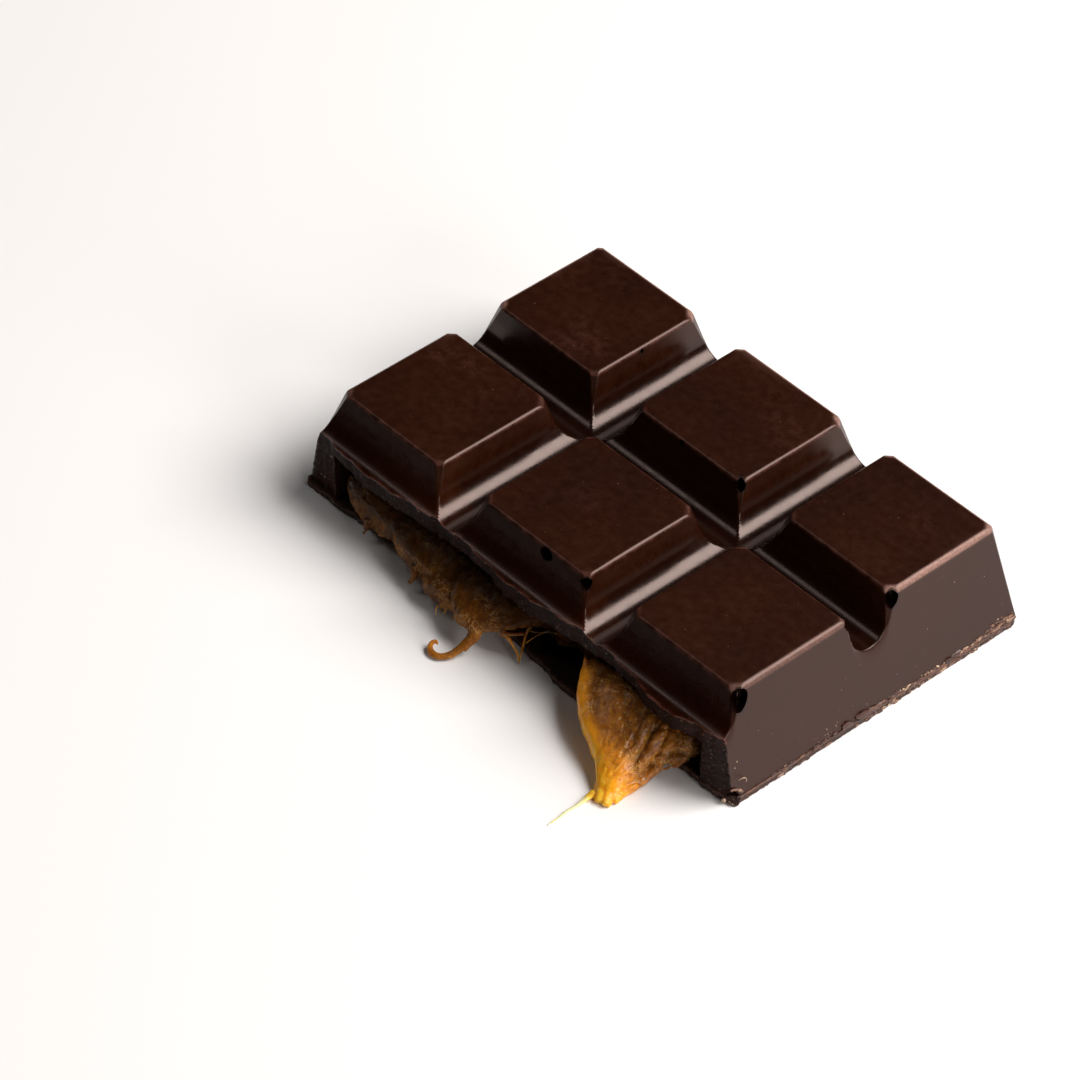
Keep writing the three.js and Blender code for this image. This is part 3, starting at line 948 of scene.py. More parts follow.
def build_base():
    """A ring of sections round the outline, from the middle of the underside out, up and back in."""
    step = 0.2
    path, kind = [], []
    front = base_break
    r = 1.0
    w, f = END_HALF, FAR_Y
    x = -w + r
    for x in np.arange(-w + 0.4, 34.81, step):
        path.append((x, float(front(x)), 0, -1))
        kind.append(1)
    # The corner at the near end is broken off in two straight facets.
    turns = np.array([(34.95, -23.8), (36.42, -23.15), (36.52, -22.7)])
    for p, q in zip(turns[:-1], turns[1:]):
        d = (q - p) / np.linalg.norm(q - p)
        for k in np.linspace(0, 1, 8 if len(path) < 370 else 3)[:-1]:
            path.append((*(p + (q - p) * k), d[1], -d[0]))
            kind.append(2)
    for y in np.arange(-22.4, f - r, step):
        path.append((w, y, 1, 0))
        kind.append(0)
    for a in np.linspace(0, math.pi / 2, 9)[1:-1]:
        path.append((w - r + r * math.cos(a), f - r + r * math.sin(a), math.cos(a), math.sin(a)))
        kind.append(0)
    for x in np.arange(w - r, -w + r, -step):
        path.append((x, f, 0, 1))
        kind.append(0)
    for a in np.linspace(math.pi / 2, math.pi, 9)[1:-1]:
        path.append((-w + r + r * math.cos(a), f - r + r * math.sin(a), math.cos(a), math.sin(a)))
        kind.append(0)
    y1 = float(front(-w + 0.4)) + 0.4
    for y in np.arange(f - r, y1, -step):
        path.append((-w, y, -1, 0))
        kind.append(0)
    path = np.array(path)
    kind = np.array(kind)
    n = len(path)
    flat = np.stack([path[:, 0], path[:, 1], np.zeros(n)], -1)
    run = np.clip(0.5 + 1.1 * fractal(flat, 7.0, 3, 0.6, 105), 0, 1)
    run = np.where(path[:, 2] > 0.5, np.clip(run + smooth(-6, 8, path[:, 1]) * 0.45 - 0.15, 0, 1), run)
    lip = -0.03 + 0.10 * fractal(flat, 2.2, 4, 0.65, 81) + 0.14 * run * np.maximum(ridged(flat, 0.7, 3, 0.65, 83), 0)
    rise = 0.08 * fractal(flat, 1.8, 4, 0.6, 87) + 0.12 * np.maximum(noise(flat, 0.5, 89), 0)
    low = 0.16 * np.maximum(fractal(flat, 0.9, 4, 0.7, 91), 0)
    #            out from the outline, height
    heights = [0.0, 0.0, 0.0, 0.05, 0.14, 0.25, 0.37, 0.50, 0.63, 0.76, 0.89, 1.01, 1.12, 1.22, 1.31, 1.40, 1.47, 1.51, 1.50, 1.46, 1.45]
    outs = [-6.0, -1.2, -0.22, -0.12, -0.06, -0.02, 0.0, 0.0, -0.01, -0.02, -0.02, -0.01, 0.0, 0.02, 0.04, 0.04, -0.02, -0.16, -0.5, -1.0, -6.0]
    m = len(heights)
    rings = []
    for k, (out, z) in enumerate(zip(outs, heights)):
        side = 2 < k < m - 4
        o = out + (smooth(0.6, 1.35, z) * lip if side else 0)
        if side:
            layered = flat + [0, 0, z * 2.6]
            o = o + (0.035 + 0.05 * run) * fractal(layered * [1, 1, 1.5], 0.7, 3, 0.7, 97) * 1.6
            o = o - 0.10 * np.maximum(noise(layered, 0.9, 98) - 0.45, 0)
            o = o - low * (1 - smooth(0.05, 0.4, z))
            # The broken side is rough all the way down.
            o = o + np.where(kind == 1, 0.16 * fractal(flat + [0, 0, z * 1.4], 0.9, 3, 0.6, 99), 0)
            o = np.where(kind == 2, out - 0.10 * smooth(0.5, 1.4, z) + 0.05 * noise(flat + [0, 0, z], 0.5, 96), o)
        zz = z + (rise * (0.6 if k == m - 4 else 1.0) if z > 1.2 and k <= m - 4 else 0)
        zz = zz + (low * 0.6 if 3 <= k <= 4 else 0)
        if z > 1.2:
            zz = np.where(kind >= 1, np.minimum(zz, 1.47 + 0.1 * rise), zz)
        zz = zz + 0 * lip
        rings.append(np.stack([path[:, 0] + path[:, 2] * o, path[:, 1] + path[:, 3] * o, np.maximum(zz, 0) * SEAM / 1.5], -1))
    rings = np.array(rings)  # section, place, xyz
    verts = rings.reshape(-1, 3)
    faces = grid_faces(m, n, wrap=True).tolist()
    faces.append(list(range(n)))
    faces.append([(m - 1) * n + i for i in range(n)][::-1])
    obj = make_object("base_surface", verts, faces, [BASE])
    outward(obj)
    crumb = np.zeros((m, n))
    for k, z in enumerate(heights):
        if 2 < k < m - 3:
            crumb[k] = np.clip(0.25 + 0.75 * smooth(1.0, 1.45, z) + 0.35 * (1 - smooth(0.1, 0.4, z)), 0, 1) * (0.25 + 0.75 * run) * np.where(kind == 2, 0.25, 1.0)
    attribute(obj, "crumb", crumb.ravel())
    obj.data.set_sharp_from_angle(angle=math.radians(45))
    return obj


def build_corner_cutter():
    """A wedge over the near corner; what it leaves slopes down to the corner's tip."""
    a, b, c = np.array([34.8, -23.45, 1.1]), np.array([36.5, -21.95, 1.1]), np.array([36.42, -23.2, 0.3])
    along = b - a
    fall = c - (a + b) / 2
    low = [a - along, b + along, b + along + fall * 2.2, a - along + fall * 2.2]
    verts = np.array(low + [p * [1, 1, 0] + [0, 0, 3.0] for p in low])
    faces = [[3, 2, 1, 0], [4, 5, 6, 7], [0, 1, 5, 4], [1, 2, 6, 5], [2, 3, 7, 6], [3, 0, 4, 7]]
    obj = make_object("corner_cutter", verts, faces)
    outward(obj)
    return obj


base = build_base()
boolean(base, build_corner_cutter())
base.data.set_sharp_from_angle(angle=math.radians(45))
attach(base, "root")
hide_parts("base_layer")


# ---------------------------------------------------------------- filling
def catmull(table, count):
    """Rows of a table made smooth: count rows along the way, evenly spread by its index."""
    t = np.linspace(0, len(table) - 1, count)
    table = np.asarray(table, float)
    i = np.clip(np.floor(t).astype(int), 0, len(table) - 2)
    f = (t - i)[:, None]
    p0 = table[np.maximum(i - 1, 0)]
    p1 = table[i]
    p2 = table[i + 1]
    p3 = table[np.minimum(i + 2, len(table) - 1)]
    return 0.5 * (
        2 * p1
        + (p2 - p0) * f
        + (2 * p0 - 5 * p1 + 4 * p2 - p3) * f**2
        + (3 * p1 - p0 - 3 * p2 + p3) * f**3
    )


def lobe(table, nt, nr, power=0.85):
    """Rows of left point, right point, crown height and floor height, as a closed skin.
    Returns vertices (nt, nr, 3) and each one's angle."""
    rows = catmull(table, nt)
    a = np.linspace(0, 2 * math.pi, nr, endpoint=False)
    s = (1 + np.cos(a)) / 2
    left, right = rows[:, None, 0:3], rows[:, None, 3:6]
    crown, floor = rows[:, None, 6], rows[:, None, 7]
    p = left + (right - left) * s[None, :, None]
    up = np.sin(a)[None, :]
    reach = np.abs(up) ** power
    level = p[:, :, 2]
    p[:, :, 2] = np.where(up >= 0, level + (np.maximum(crown, level) - level) * reach, level - (level - np.minimum(floor, level)) * reach)
    return p, a


# left x, y, z; right x, y, z; crown, floor
TONGUE = (
    (13.0, -19.2, 4.4, 28.6, -19.5, 4.2, 6.9, 1.7),
    (12.2, -22.2, 5.0, 28.4, -21.8, 4.4, 7.0, 1.6),
    (12.0, -24.2, 5.3, 28.0, -23.3, 3.8, 7.0, 1.5),
    (13.1, -26.2, 4.7, 27.4, -24.3, 2.2, 6.6, 0.9),
    (14.7, -27.8, 4.0, 26.7, -25.7, 1.2, 6.0, 0.3),
    (16.9, -29.2, 3.4, 26.4, -27.2, 0.8, 5.2, 0.12),
    (19.3, -30.4, 2.8, 26.4, -28.8, 0.6, 4.3, 0.12),
    (21.4, -31.3, 2.1, 26.6, -30.3, 0.5, 3.4, 0.12),
    (22.8, -32.3, 1.4, 26.8, -31.6, 0.42, 2.5, 0.12),
    (24.0, -33.5, 0.8, 27.0, -32.9, 0.36, 1.6, 0.12),
    (24.8, -33.9, 0.42, 27.1, -33.5, 0.3, 0.95, 0.12),
)
LUMP = (
    (24.0, -19.2, 4.3, 29.9, -19.4, 4.0, 6.7, 1.6),
    (24.4, -22.2, 4.2, 29.6, -22.2, 3.9, 6.6, 1.6),
    (25.0, -23.9, 3.9, 29.1, -23.6, 3.6, 6.0, 1.7),
    (25.9, -25.1, 3.4, 28.7, -24.7, 3.1, 5.0, 1.8),
    (26.6, -25.8, 3.0, 28.2, -25.4, 2.9, 3.9, 2.0),
)
LEFT_LOBE = (
    (-11.8, -19.2, 4.2, 5.4, -19.2, 4.6, 6.9, 2.0),
    (-11.4, -22.2, 4.2, 4.6, -21.6, 4.8, 7.0, 2.2),
    (-10.2, -24.2, 4.1, 3.0, -23.2, 4.9, 6.9, 2.6),
    (-8.8, -25.8, 3.9, 1.8, -24.7, 4.5, 6.5, 2.8),
    (-7.4, -27.0, 3.6, 0.8, -25.9, 3.9, 5.8, 2.7),
    (-6.0, -28.0, 3.3, -0.6, -27.0, 3.4, 4.9, 2.5),
    (-4.9, -28.7, 3.0, -1.9, -27.8, 2.9, 4.0, 2.3),
)
# The torn filling further along, which stands out less.
MIDDLE = (
    (-23.0, -19.2, 4.2, -6.0, -19.2, 4.2, 6.8, 1.6),
    (-22.8, -22.4, 4.1, -6.2, -22.4, 4.1, 6.8, 1.6),
    (-21.8, -24.2, 4.0, -6.8, -24.6, 4.0, 6.4, 1.7),
    (-20.2, -25.2, 3.7, -8.0, -26.0, 3.6, 5.6, 1.9),
    (-18.0, -25.8, 3.3, -10.2, -26.8, 3.2, 4.6, 2.0),
)
FAR_END = (
    (-30.9, -19.2, 4.2, -17.0, -19.2, 4.2, 6.8, 1.6),
    (-30.5, -22.4, 4.1, -17.4, -22.6, 4.1, 6.7, 1.6),
    (-29.4, -23.7, 3.9, -18.4, -24.3, 3.9, 6.2, 1.7),
    (-27.4, -24.5, 3.5, -20.6, -25.2, 3.5, 5.2, 1.9),
)
# Clumps under the lobe, darker and further in.
CLUMP = (
    (-13.5, -23.0, 3.0, -4.5, -23.0, 3.0, 5.0, 1.5),
    (-13.0, -26.0, 2.8, -5.5, -26.0, 2.8, 4.6, 1.5),
    (-12.0, -27.4, 2.6, -7.0, -27.2, 2.6, 3.8, 1.6),
)
# Folds that the pull draws towards the neck: points, then radii.
FOLDS = (
    (((26.6, -23.2, 5.4), (27.0, -25.0, 4.05), (27.2, -27.0, 2.05), (27.0, -28.2, 1.25), (26.8, -29.9, 0.7), (26.7, -32.0, 0.5), (27.0, -33.4, 0.38)), (0.55, 0.62, 0.68, 0.72, 0.68, 0.54, 0.40)),
    (((25.2, -23.2, 5.95), (25.8, -25.4, 4.85), (26.1, -27.4, 3.25), (26.1, -29.6, 1.85), (26.0, -31.6, 1.05), (26.3, -33.3, 0.5)), (0.55, 0.64, 0.64, 0.62, 0.56, 0.40)),
    (((23.4, -23.4, 6.35), (24.0, -25.8, 5.5), (24.7, -28.2, 3.8), (25.1, -30.4, 2.35), (25.3, -32.2, 1.3), (25.6, -33.6, 0.6)), (0.5, 0.58, 0.52, 0.5, 0.45, 0.35)),
    (((27.8, -23.4, 5.3), (28.0, -24.4, 4.2), (27.9, -25.4, 3.1), (27.5, -26.4, 2.1)), (0.4, 0.35, 0.3, 0.28)),
    (((28.7, -23.2, 4.9), (28.9, -23.8, 3.9), (28.7, -24.4, 2.9), (28.3, -25.0, 2.1)), (0.3, 0.26, 0.22, 0.18)),
    # the foot of the neck, which spreads in two short toes
    (((24.4, -32.4, 0.9), (25.2, -33.7, 0.6), (25.9, -34.75, 0.42)), (0.8, 0.66, 0.48)),
    (((25.4, -32.2, 0.9), (26.2, -33.5, 0.6), (26.85, -34.5, 0.42)), (0.8, 0.66, 0.46)),
    # the spike at the sheet's upper corner
    (((12.5, -24.4, 5.6), (12.0, -24.1, 6.1), (11.8, -24.0, 6.5)), (0.45, 0.2, 0.06)),
    # strands at the lobe's lower rim
    (((-9.0, -26.2, 3.2), (-8.7, -26.8, 2.4), (-8.9, -27.2, 1.5)), (0.7, 0.45, 0.15)),
    (((-14.6, -26.2, 3.2), (-14.2, -26.9, 2.2), (-14.5, -27.3, 1.1)), (0.7, 0.4, 0.12)),
    (((-24.6, -24.8, 3.0), (-24.2, -25.3, 2.0), (-24.5, -25.6, 1.0)), (0.6, 0.35, 0.12)),
)
NECK = np.array([25.2, -34.6, 0.8])


def skin(points):
    nt, nr, _ = points.shape
    faces = grid_faces(nt, nr, wrap=True).tolist()
    faces.append(list(range(nr)))
    faces.append([(nt - 1) * nr + i for i in range(nr)][::-1])
    return points.reshape(-1, 3), faces


def tube(points, radius, sides=10, count=40, flat=1.0, seed=0, wobble=0.18):
    """A tapering strand through points; radius is a list along it."""
    path = catmull(points, count)
    r = np.interp(np.linspace(0, 1, count), np.linspace(0, 1, len(radius)), radius)
    d = np.gradient(path, axis=0)
    d /= np.linalg.norm(d, axis=1)[:, None]
    side = np.cross([0, 0, 1], d)
    side /= np.maximum(np.linalg.norm(side, axis=1)[:, None], 1e-6)
    up = np.cross(d, side)
    a = np.linspace(0, 2 * math.pi, sides, endpoint=False)
    ring = (
        path[:, None]
        + side[:, None] * (r[:, None] * np.cos(a))[..., None]
        + up[:, None] * (flat * r[:, None] * np.sin(a))[..., None]
    )
    flatp = ring.reshape(-1, 3)
    wob = 1 + wobble * noise(flatp, 0.9, seed)
    centre = np.repeat(path, sides, 0)
    flatp = centre + (flatp - centre) * wob[:, None]
    flatp[:, 2] = np.maximum(flatp[:, 2], 0.06)
    return skin(flatp.reshape(count, sides, 3))


def voxel(obj, size):
    mod = obj.modifiers.new("remesh", "REMESH")
    mod.mode = "VOXEL"
    mod.voxel_size = size * MM
    graph = bpy.context.evaluated_depsgraph_get()
    new = bpy.data.meshes.new_from_object(obj.evaluated_get(graph))
    obj.modifiers.clear()
    old, obj.data = obj.data, new
    bpy.data.meshes.remove(old)


def build_filling_core():
    pieces = [
        skin(lobe(TONGUE, 90, 64)[0]),
        skin(lobe(LUMP, 50, 48)[0]),
        skin(lobe(LEFT_LOBE, 70, 90)[0]),
        skin(lobe(CLUMP, 40, 48)[0]),
        skin(lobe(MIDDLE, 50, 70)[0]),
        skin(lobe(FAR_END, 40, 60)[0]),
        tube(((24.4, -31.6, 1.1), (24.35, -32.8, 0.8), (24.5, -33.8, 0.5), (24.6, -34.8, 0.35)), (1.1, 0.8, 0.46, 0.3), 20, 40, 0.6, 5),
        *[tube(p, r, 16, 50, 1.0, 7 + k) for k, (p, r) in enumerate(FOLDS)],
        tube(((-4.6, -27.4, 3.8), (-2.6, -27.9, 3.0), (-2.1, -28.8, 2.1), (-2.3, -29.9, 1.3)), (1.3, 0.9, 0.65, 0.5), 20, 40, 0.8, 6),
    ]
    obj = make_object("filling_core", *joined(pieces))
    outward(obj)
    voxel(obj, 0.155)
    return obj


def flow(co):
    """Coordinates across, along and through the pulled filling."""
    d = co - NECK
    ang = np.arctan2(d[:, 0], d[:, 1])
    dist = np.linalg.norm(d, axis=1)
    polar = np.stack([ang * 11.0, dist * 0.30, co[:, 2] * 0.35], -1)
    left = np.stack([co[:, 0] * 1.0 + 0.25 * co[:, 1], co[:, 1] * 0.30, co[:, 2] * 0.45], -1)
    right = smooth(8.0, 11.0, co[:, 0])[:, None]
    return polar * right + left * (1 - right)


def shape_filling(obj):
    co = coords(obj)
    n = normals(obj)
    out = smooth(-21.0, -23.0, co[:, 1])
    warp = np.stack([noise(co, 2.2, 127), noise(co, 2.2, 128), noise(co, 2.2, 129)], -1)
    q = flow(co) + 0.55 * warp
    fib = ridged(q, 1.5, 3, 0.6, 131)
    fine = ridged(q * [1.0, 1.6, 1.2], 0.55, 2, 0.6, 133)
    big = fractal(co, 3.4, 3, 0.5, 137)
    pit = np.maximum(noise(co, 0.8, 139) - 0.45, 0)
    hole = np.maximum(noise(co, 1.3, 140) - 0.25, 0)
    grain = fractal(co, 0.7, 2, 0.7, 141)
    tongue = smooth(9, 12, co[:, 0])
    # The sheet's left part is smooth, its right part folded, and the lump beyond is full of holes.
    folded = tongue * smooth(19.5, 24.5, co[:, 0] + 0.35 * (co[:, 1] + 30))
    lump = smooth(26.8, 28.2, co[:, 0]) * smooth(-27.5, -26.0, co[:, 1])
    calm = tongue * (1 - folded)
    amount = (0.10 + 0.12 * folded - 0.04 * calm) * fib + (0.035 + 0.055 * folded) * fine
    amount = amount + 0.20 * big - 0.30 * pit + (0.06 - 0.02 * calm) * grain - 1.1 * lump * hole
    near_floor = smooth(0.15, 1.3, co[:, 2])
    tipward = smooth(-35.5, -30.0, co[:, 1])
    k = out * near_floor * (0.30 + 0.70 * tipward)
    co = co + n * (amount * k)[:, None]
    # The lobe's lower rim hangs in short points.
    rim = (1 - tongue) * smooth(3.6, 2.4, co[:, 2]) * out
    drop = np.maximum(ridged(co * [1, 0.25, 0.2], 1.1, 2, 0.6, 151), 0) ** 1.5
    co[:, 2] -= rim * drop * 0.45
    lowered = (tongue > 0.5) & (co[:, 0] > 25.5) & (co[:, 1] > -28)
    rim2 = lowered * smooth(3.2, 1.2, co[:, 2]) * out
    co[:, 2] -= rim2 * np.maximum(ridged(co * [1, 0.3, 0.2], 0.9, 2, 0.6, 153), 0) * 0.5
    co[:, 2] = np.maximum(co[:, 2], 0.05)
    set_coords(obj, co)


def build_slab():
    w = END_WALL_IN - 0.1
    xs = np.linspace(-w, w, 70)
    ys = np.concatenate([np.linspace(-21.4, -18, 14), np.linspace(-15, FAR_WALL_IN - 0.1, 8)])
    gx, gy = np.meshgrid(xs, ys, indexing="ij")
    lag = 0.6 * np.sin(xs * 0.9 + 1) + 0.3 * np.sin(xs * 2.1)
    gy2 = gy + smooth(-18, -21.4, gy) * (0.8 + lag[:, None])
    verts, faces = solid_block(xs, ys, gx * 0 + 6.7, gx * 0 + 1.5)
    verts[:, 1] = np.concatenate([gy2.ravel(), gy2.ravel()])
    obj = make_object("slab", verts, faces)
    outward(obj)
    return obj


def thread(rng, start, heading, length, radius, sag):
    """A short frayed thread from start, bending and falling as it goes."""
    pts, p = [], np.array(start, float)
    d = np.array(heading, float)
    d /= np.linalg.norm(d)
    for _ in range(5):
        pts.append(p.copy())
        d = d + rng.normal(0, 0.28, 3) + np.array([0, 0, -sag])
        d /= np.linalg.norm(d)
        p = p + d * length / 4
        p[2] = max(p[2], 0.12)
    return tube(pts, (radius, radius * 0.75, radius * 0.55, radius * 0.4, radius * 0.15), 6, 12, 1.0, 3, 0.1)


def build_strands():
    parts = [
        # tail, which lies on the table
        (((24.55, -34.2, 0.5), (24.6, -35.6, 0.36), (24.6, -37.0, 0.28), (24.52, -38.4, 0.22), (24.6, -39.9, 0.2), (24.6, -41.45, 0.14)), (0.5, 0.32, 0.22, 0.17, 0.12, 0.05), 0.6),
        # curl
        (((-2.1, -28.8, 2.1), (-2.3, -29.9, 1.3), (-2.6, -31.1, 0.75), (-3.1, -32.2, 0.55), (-4.0, -32.75, 0.5), (-4.95, -32.6, 0.55), (-5.45, -32.0, 0.75), (-5.3, -31.5, 0.95), (-4.75, -31.65, 1.0)), (0.62, 0.5, 0.46, 0.44, 0.42, 0.36, 0.3, 0.24, 0.1), 0.85),
        # V of strands with a gap between them
        (((0.4, -26.4, 3.4), (1.1, -26.0, 2.9), (1.8, -25.8, 2.0), (2.7, -25.75, 1.1), (3.35, -26.15, 0.25)), (0.5, 0.27, 0.17, 0.15, 0.06), 0.8),
        (((2.4, -23.6, 4.3), (2.2, -24.0, 3.2), (2.4, -24.6, 2.1), (2.9, -25.4, 1.1), (3.3, -26.1, 0.3)), (0.34, 0.20, 0.15, 0.14, 0.06), 0.8),
        (((5.4, -23.2, 5.4), (4.5, -23.3, 4.5), (3.5, -23.7, 3.4), (2.7, -24.5, 2.2)), (0.24, 0.12, 0.09, 0.10), 0.9),
        (((6.4, -23.3, 5.7), (5.0, -23.4, 5.0), (3.9, -23.6, 4.2), (2.6, -23.8, 3.6)), (0.18, 0.09, 0.08, 0.10), 0.9),
        (((0.9, -26.1, 3.3), (1.5, -25.4, 3.3), (2.1, -24.5, 3.2)), (0.3, 0.22, 0.24), 0.8),
        # lacy loops under the lump
        (((27.2, -26.3, 2.6), (27.4, -26.7, 2.0), (27.8, -26.3, 1.7), (28.1, -25.7, 1.9), (28.0, -25.1, 2.5)), (0.22, 0.16, 0.14, 0.15, 0.2), 1.0),
        (((27.8, -25.6, 2.7), (28.1, -25.6, 2.0), (28.5, -25.0, 1.8), (28.7, -24.4, 2.2), (28.5, -24.0, 2.8)), (0.2, 0.15, 0.13, 0.14, 0.2), 1.0),
    ]
    pieces = [tube(p, r, 12, 60, f, k) for k, (p, r, f) in enumerate(parts)]
    rng = np.random.default_rng(SEED)
    # Frayed threads: along the lobe's lower rim, the lump's side and the lobe's outer end.
    for _ in range(18):
        x = rng.uniform(-9, 1)
        y = -27.4 + 0.32 * (x + 3) + rng.uniform(-0.3, 0.9)
        pieces.append(thread(rng, (x, y, rng.uniform(2.4, 3.6)), (rng.normal(0, 0.6), rng.normal(-0.3, 0.5), -1), rng.uniform(0.5, 1.3), rng.uniform(0.05, 0.12), 0.3))
    for _ in range(4):
        t = rng.uniform(0, 1)
        x, y = 28.7 - 2.2 * t, -23.6 - 3.4 * t
        pieces.append(thread(rng, (x - 0.3, y + 0.2, rng.uniform(0.8, 4.4) * (1 - 0.5 * t)), (rng.normal(0.5, 0.4), rng.normal(-0.5, 0.4), rng.normal(-0.4, 0.5)), rng.uniform(0.4, 1.0), rng.uniform(0.05, 0.12), 0.15))
    for _ in range(26):
        t = rng.uniform(0, 1)
        x, y = 12.2 + 9.0 * t, -24.6 - 6.3 * t
        pieces.append(thread(rng, (x + 0.25, y + 0.1, rng.uniform(4.0, 6.2) * (1 - 0.5 * t)), (rng.normal(0.8, 0.4), rng.normal(-1.2, 0.4), rng.normal(-0.2, 0.3)), rng.uniform(0.8, 2.0), rng.uniform(0.05, 0.1), 0.1))
    return [make_closed(*p) for p in pieces]


def make_closed(verts, faces):
    obj = make_object("strand", verts, faces)
    outward(obj)
    return obj


def merge(objs):
    """Several closed solids as one, by union."""
    first = objs[0]
    rest = objs[1:]
    verts, faces = [], []
    n = 0
    for o in rest:
        verts.append(coords(o))
        faces += [[v + n for v in f.vertices] for f in o.data.polygons]
        n += len(verts[-1])
        bpy.data.objects.remove(o)
    other = make_object("others", np.concatenate(verts), faces)
    boolean(first, other, "UNION")
    return first


def finish_filling(obj):
    co = coords(obj)
    x, y, z = co.T
    tongue = smooth(9.5, 12, x)
    # How pale the sheet is painted: paler towards the neck, where it is thin, and along the edges that hang free, where
    # the pale colour is painted glow standing in for light shining through.
    down = smooth(-26.5, -33.0, y)
    left_edge = np.interp(y, [-35, -32.3, -30.4, -29.2, -27.8, -26.2, -24.2, -22], [25, 22.8, 19.3, 16.9, 14.7, 13.1, 12.0, 12.0])
    left_edge_glow = smooth(3.2, 0.3, x - left_edge) * smooth(-23.4, -26.0, y)
    right_edge = np.interp(y, [-33.5, -31.6, -30.3, -28.8, -27.2, -25.7], [27.1, 26.8, 26.6, 26.4, 26.4, 26.7])
    glow = smooth(2.0, 0.3, right_edge - x) * smooth(-25.6, -27.0, y)
    hem = smooth(2.6, 1.0, z) * smooth(-25.5, -27.5, y)
    thin_and_glow = 0.10 + 0.60 * down**1.3 + 0.50 * left_edge_glow * (1 - 0.30 * down) + 0.02 * np.maximum(hem, glow) * (1 - 0.7 * down) + 0.07 * noise(co, 2.6, 161)
    thin_and_glow = np.minimum(thin_and_glow, 0.80 + 0.20 * smooth(-34.6, -36.2, y))
    thin_and_glow = np.maximum(thin_and_glow, 0.97 * smooth(-34.4, -36.4, y))
    # The lobe is painted paler at its lower rim, at the curl and in the V of strands: partly thinner filling, partly
    # painted light on its lit lower part.
    lobe_thin_and_glow = 0.02 + 0.26 * smooth(4.4, 2.6, z) * smooth(-24.0, -26.5, y) * smooth(-11, -7, x) + 0.08 * noise(co, 2.0, 163)
    curl = smooth(-28.3, -30.0, y)
    lobe_thin_and_glow = lobe_thin_and_glow + 0.02 * curl + 0.12 * smooth(-4.2, -5.2, x) * curl
    vee = smooth(0.8, 2.2, x) * smooth(3.4, 2.6, z)
    lobe_thin_and_glow = lobe_thin_and_glow + 0.30 * vee
    thin_and_glow = thin_and_glow * tongue + lobe_thin_and_glow * (1 - tongue)
    attribute(obj, "thin_and_glow", np.clip(thin_and_glow, 0, 1))
    fib = ridged(flow(co), 0.8, 3, 0.65, 171)
    attribute(obj, "fibre", np.clip(0.5 + 0.5 * fib, 0, 1))
    # Painted shade: the tongue's top under the shell, the lump, the lobe (most of all its upper part) and the filling
    # inside the break are darkened as if in shadow.
    lump = smooth(27.0, 28.4, x) * smooth(-27.5, -26.0, y)
    shade = np.maximum(smooth(-24.6, -22.4, y) * smooth(11.5, 14.5, x), 0.35 * lump) * tongue
    curled = smooth(-28.3, -30.0, y)
    under = (1 - tongue) * np.maximum(smooth(-28.6, -25.4, y) * smooth(2.8, 4.9, z), 0.46 - 0.02 * curled - 0.15 * vee)
    back = smooth(-24.0, -22.6, y)
    attribute(obj, "painted_shade", np.clip(np.maximum(np.maximum(shade, under), back), 0, 1))
    obj.data.materials.clear()
    obj.data.materials.append(AMBER)
    obj.data.polygons.foreach_set("use_smooth", [True] * len(obj.data.polygons))
    obj.name = obj.data.name = "filling_surface"


filling = build_filling_core()
print("filling", len(filling.data.polygons))
shape_filling(filling)
filling = merge([filling, build_slab(), *build_strands()])
finish_filling(filling)
print("filling merged", len(filling.data.polygons))
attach(filling, "root")
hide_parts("filling")


def build_glints(rng, number):
    """Short curls of stretched filling that lie on the tongue's skin, painted paler than it as glints; being raised,
    they also catch real highlights.
    """
    mesh = filling.data
    count = len(mesh.polygons)
    centre, normal, area = np.zeros(count * 3), np.zeros(count * 3), np.zeros(count)
    mesh.polygons.foreach_get("center", centre)
    mesh.polygons.foreach_get("normal", normal)
    mesh.polygons.foreach_get("area", area)
    centre, normal = centre.reshape(-1, 3) / MM, normal.reshape(-1, 3)
    x, y, z = centre.T
    weight = area * ((x > 12.6) & (x < 27.0) & (y < -23.9) & (y > -32.0) & (z > 1.2) & (normal[:, 2] > 0.1))
    weight = weight * smooth(-0.25, 0.25, noise(centre, 2.2, 211))
    parts, thin_and_glow = [], []
    for k in rng.choice(count, number, p=weight / weight.sum()):
        q = Vector(normal[k]).to_track_quat("Z", "Y").to_matrix()
        m = np.array(q)
        start, span, r = rng.uniform(0, 6.28), rng.uniform(1.0, 3.4), rng.uniform(0.07, 0.20)
        turn = start + span * np.linspace(0, 1, 5)
        pts = centre[k] + normal[k] * 0.015 + r * (np.cos(turn)[:, None] * m[:, 0] + np.sin(turn)[:, None] * m[:, 1])
        thick = rng.uniform(0.6, 1.1)
        part = tube(pts, [thick * t for t in (0.012, 0.038, 0.046, 0.038, 0.012)], 6, 12, 0.8, 3, 0.15)
        parts.append(part)
        # painted glint: each curl gets a paler colour than the skin around it
        thin_and_glow += [rng.uniform(0.38, 0.58)] * len(part[0])
    obj = make_object("filling_curls", *joined(parts), [AMBER])
    outward(obj)
    attribute(obj, "thin_and_glow", thin_and_glow)
    attribute(obj, "fibre", [0.9] * len(thin_and_glow))
    attribute(obj, "painted_shade", [0.12] * len(thin_and_glow))
    return obj


glints = build_glints(np.random.default_rng(SEED + 2), 150)
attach(glints, "root")


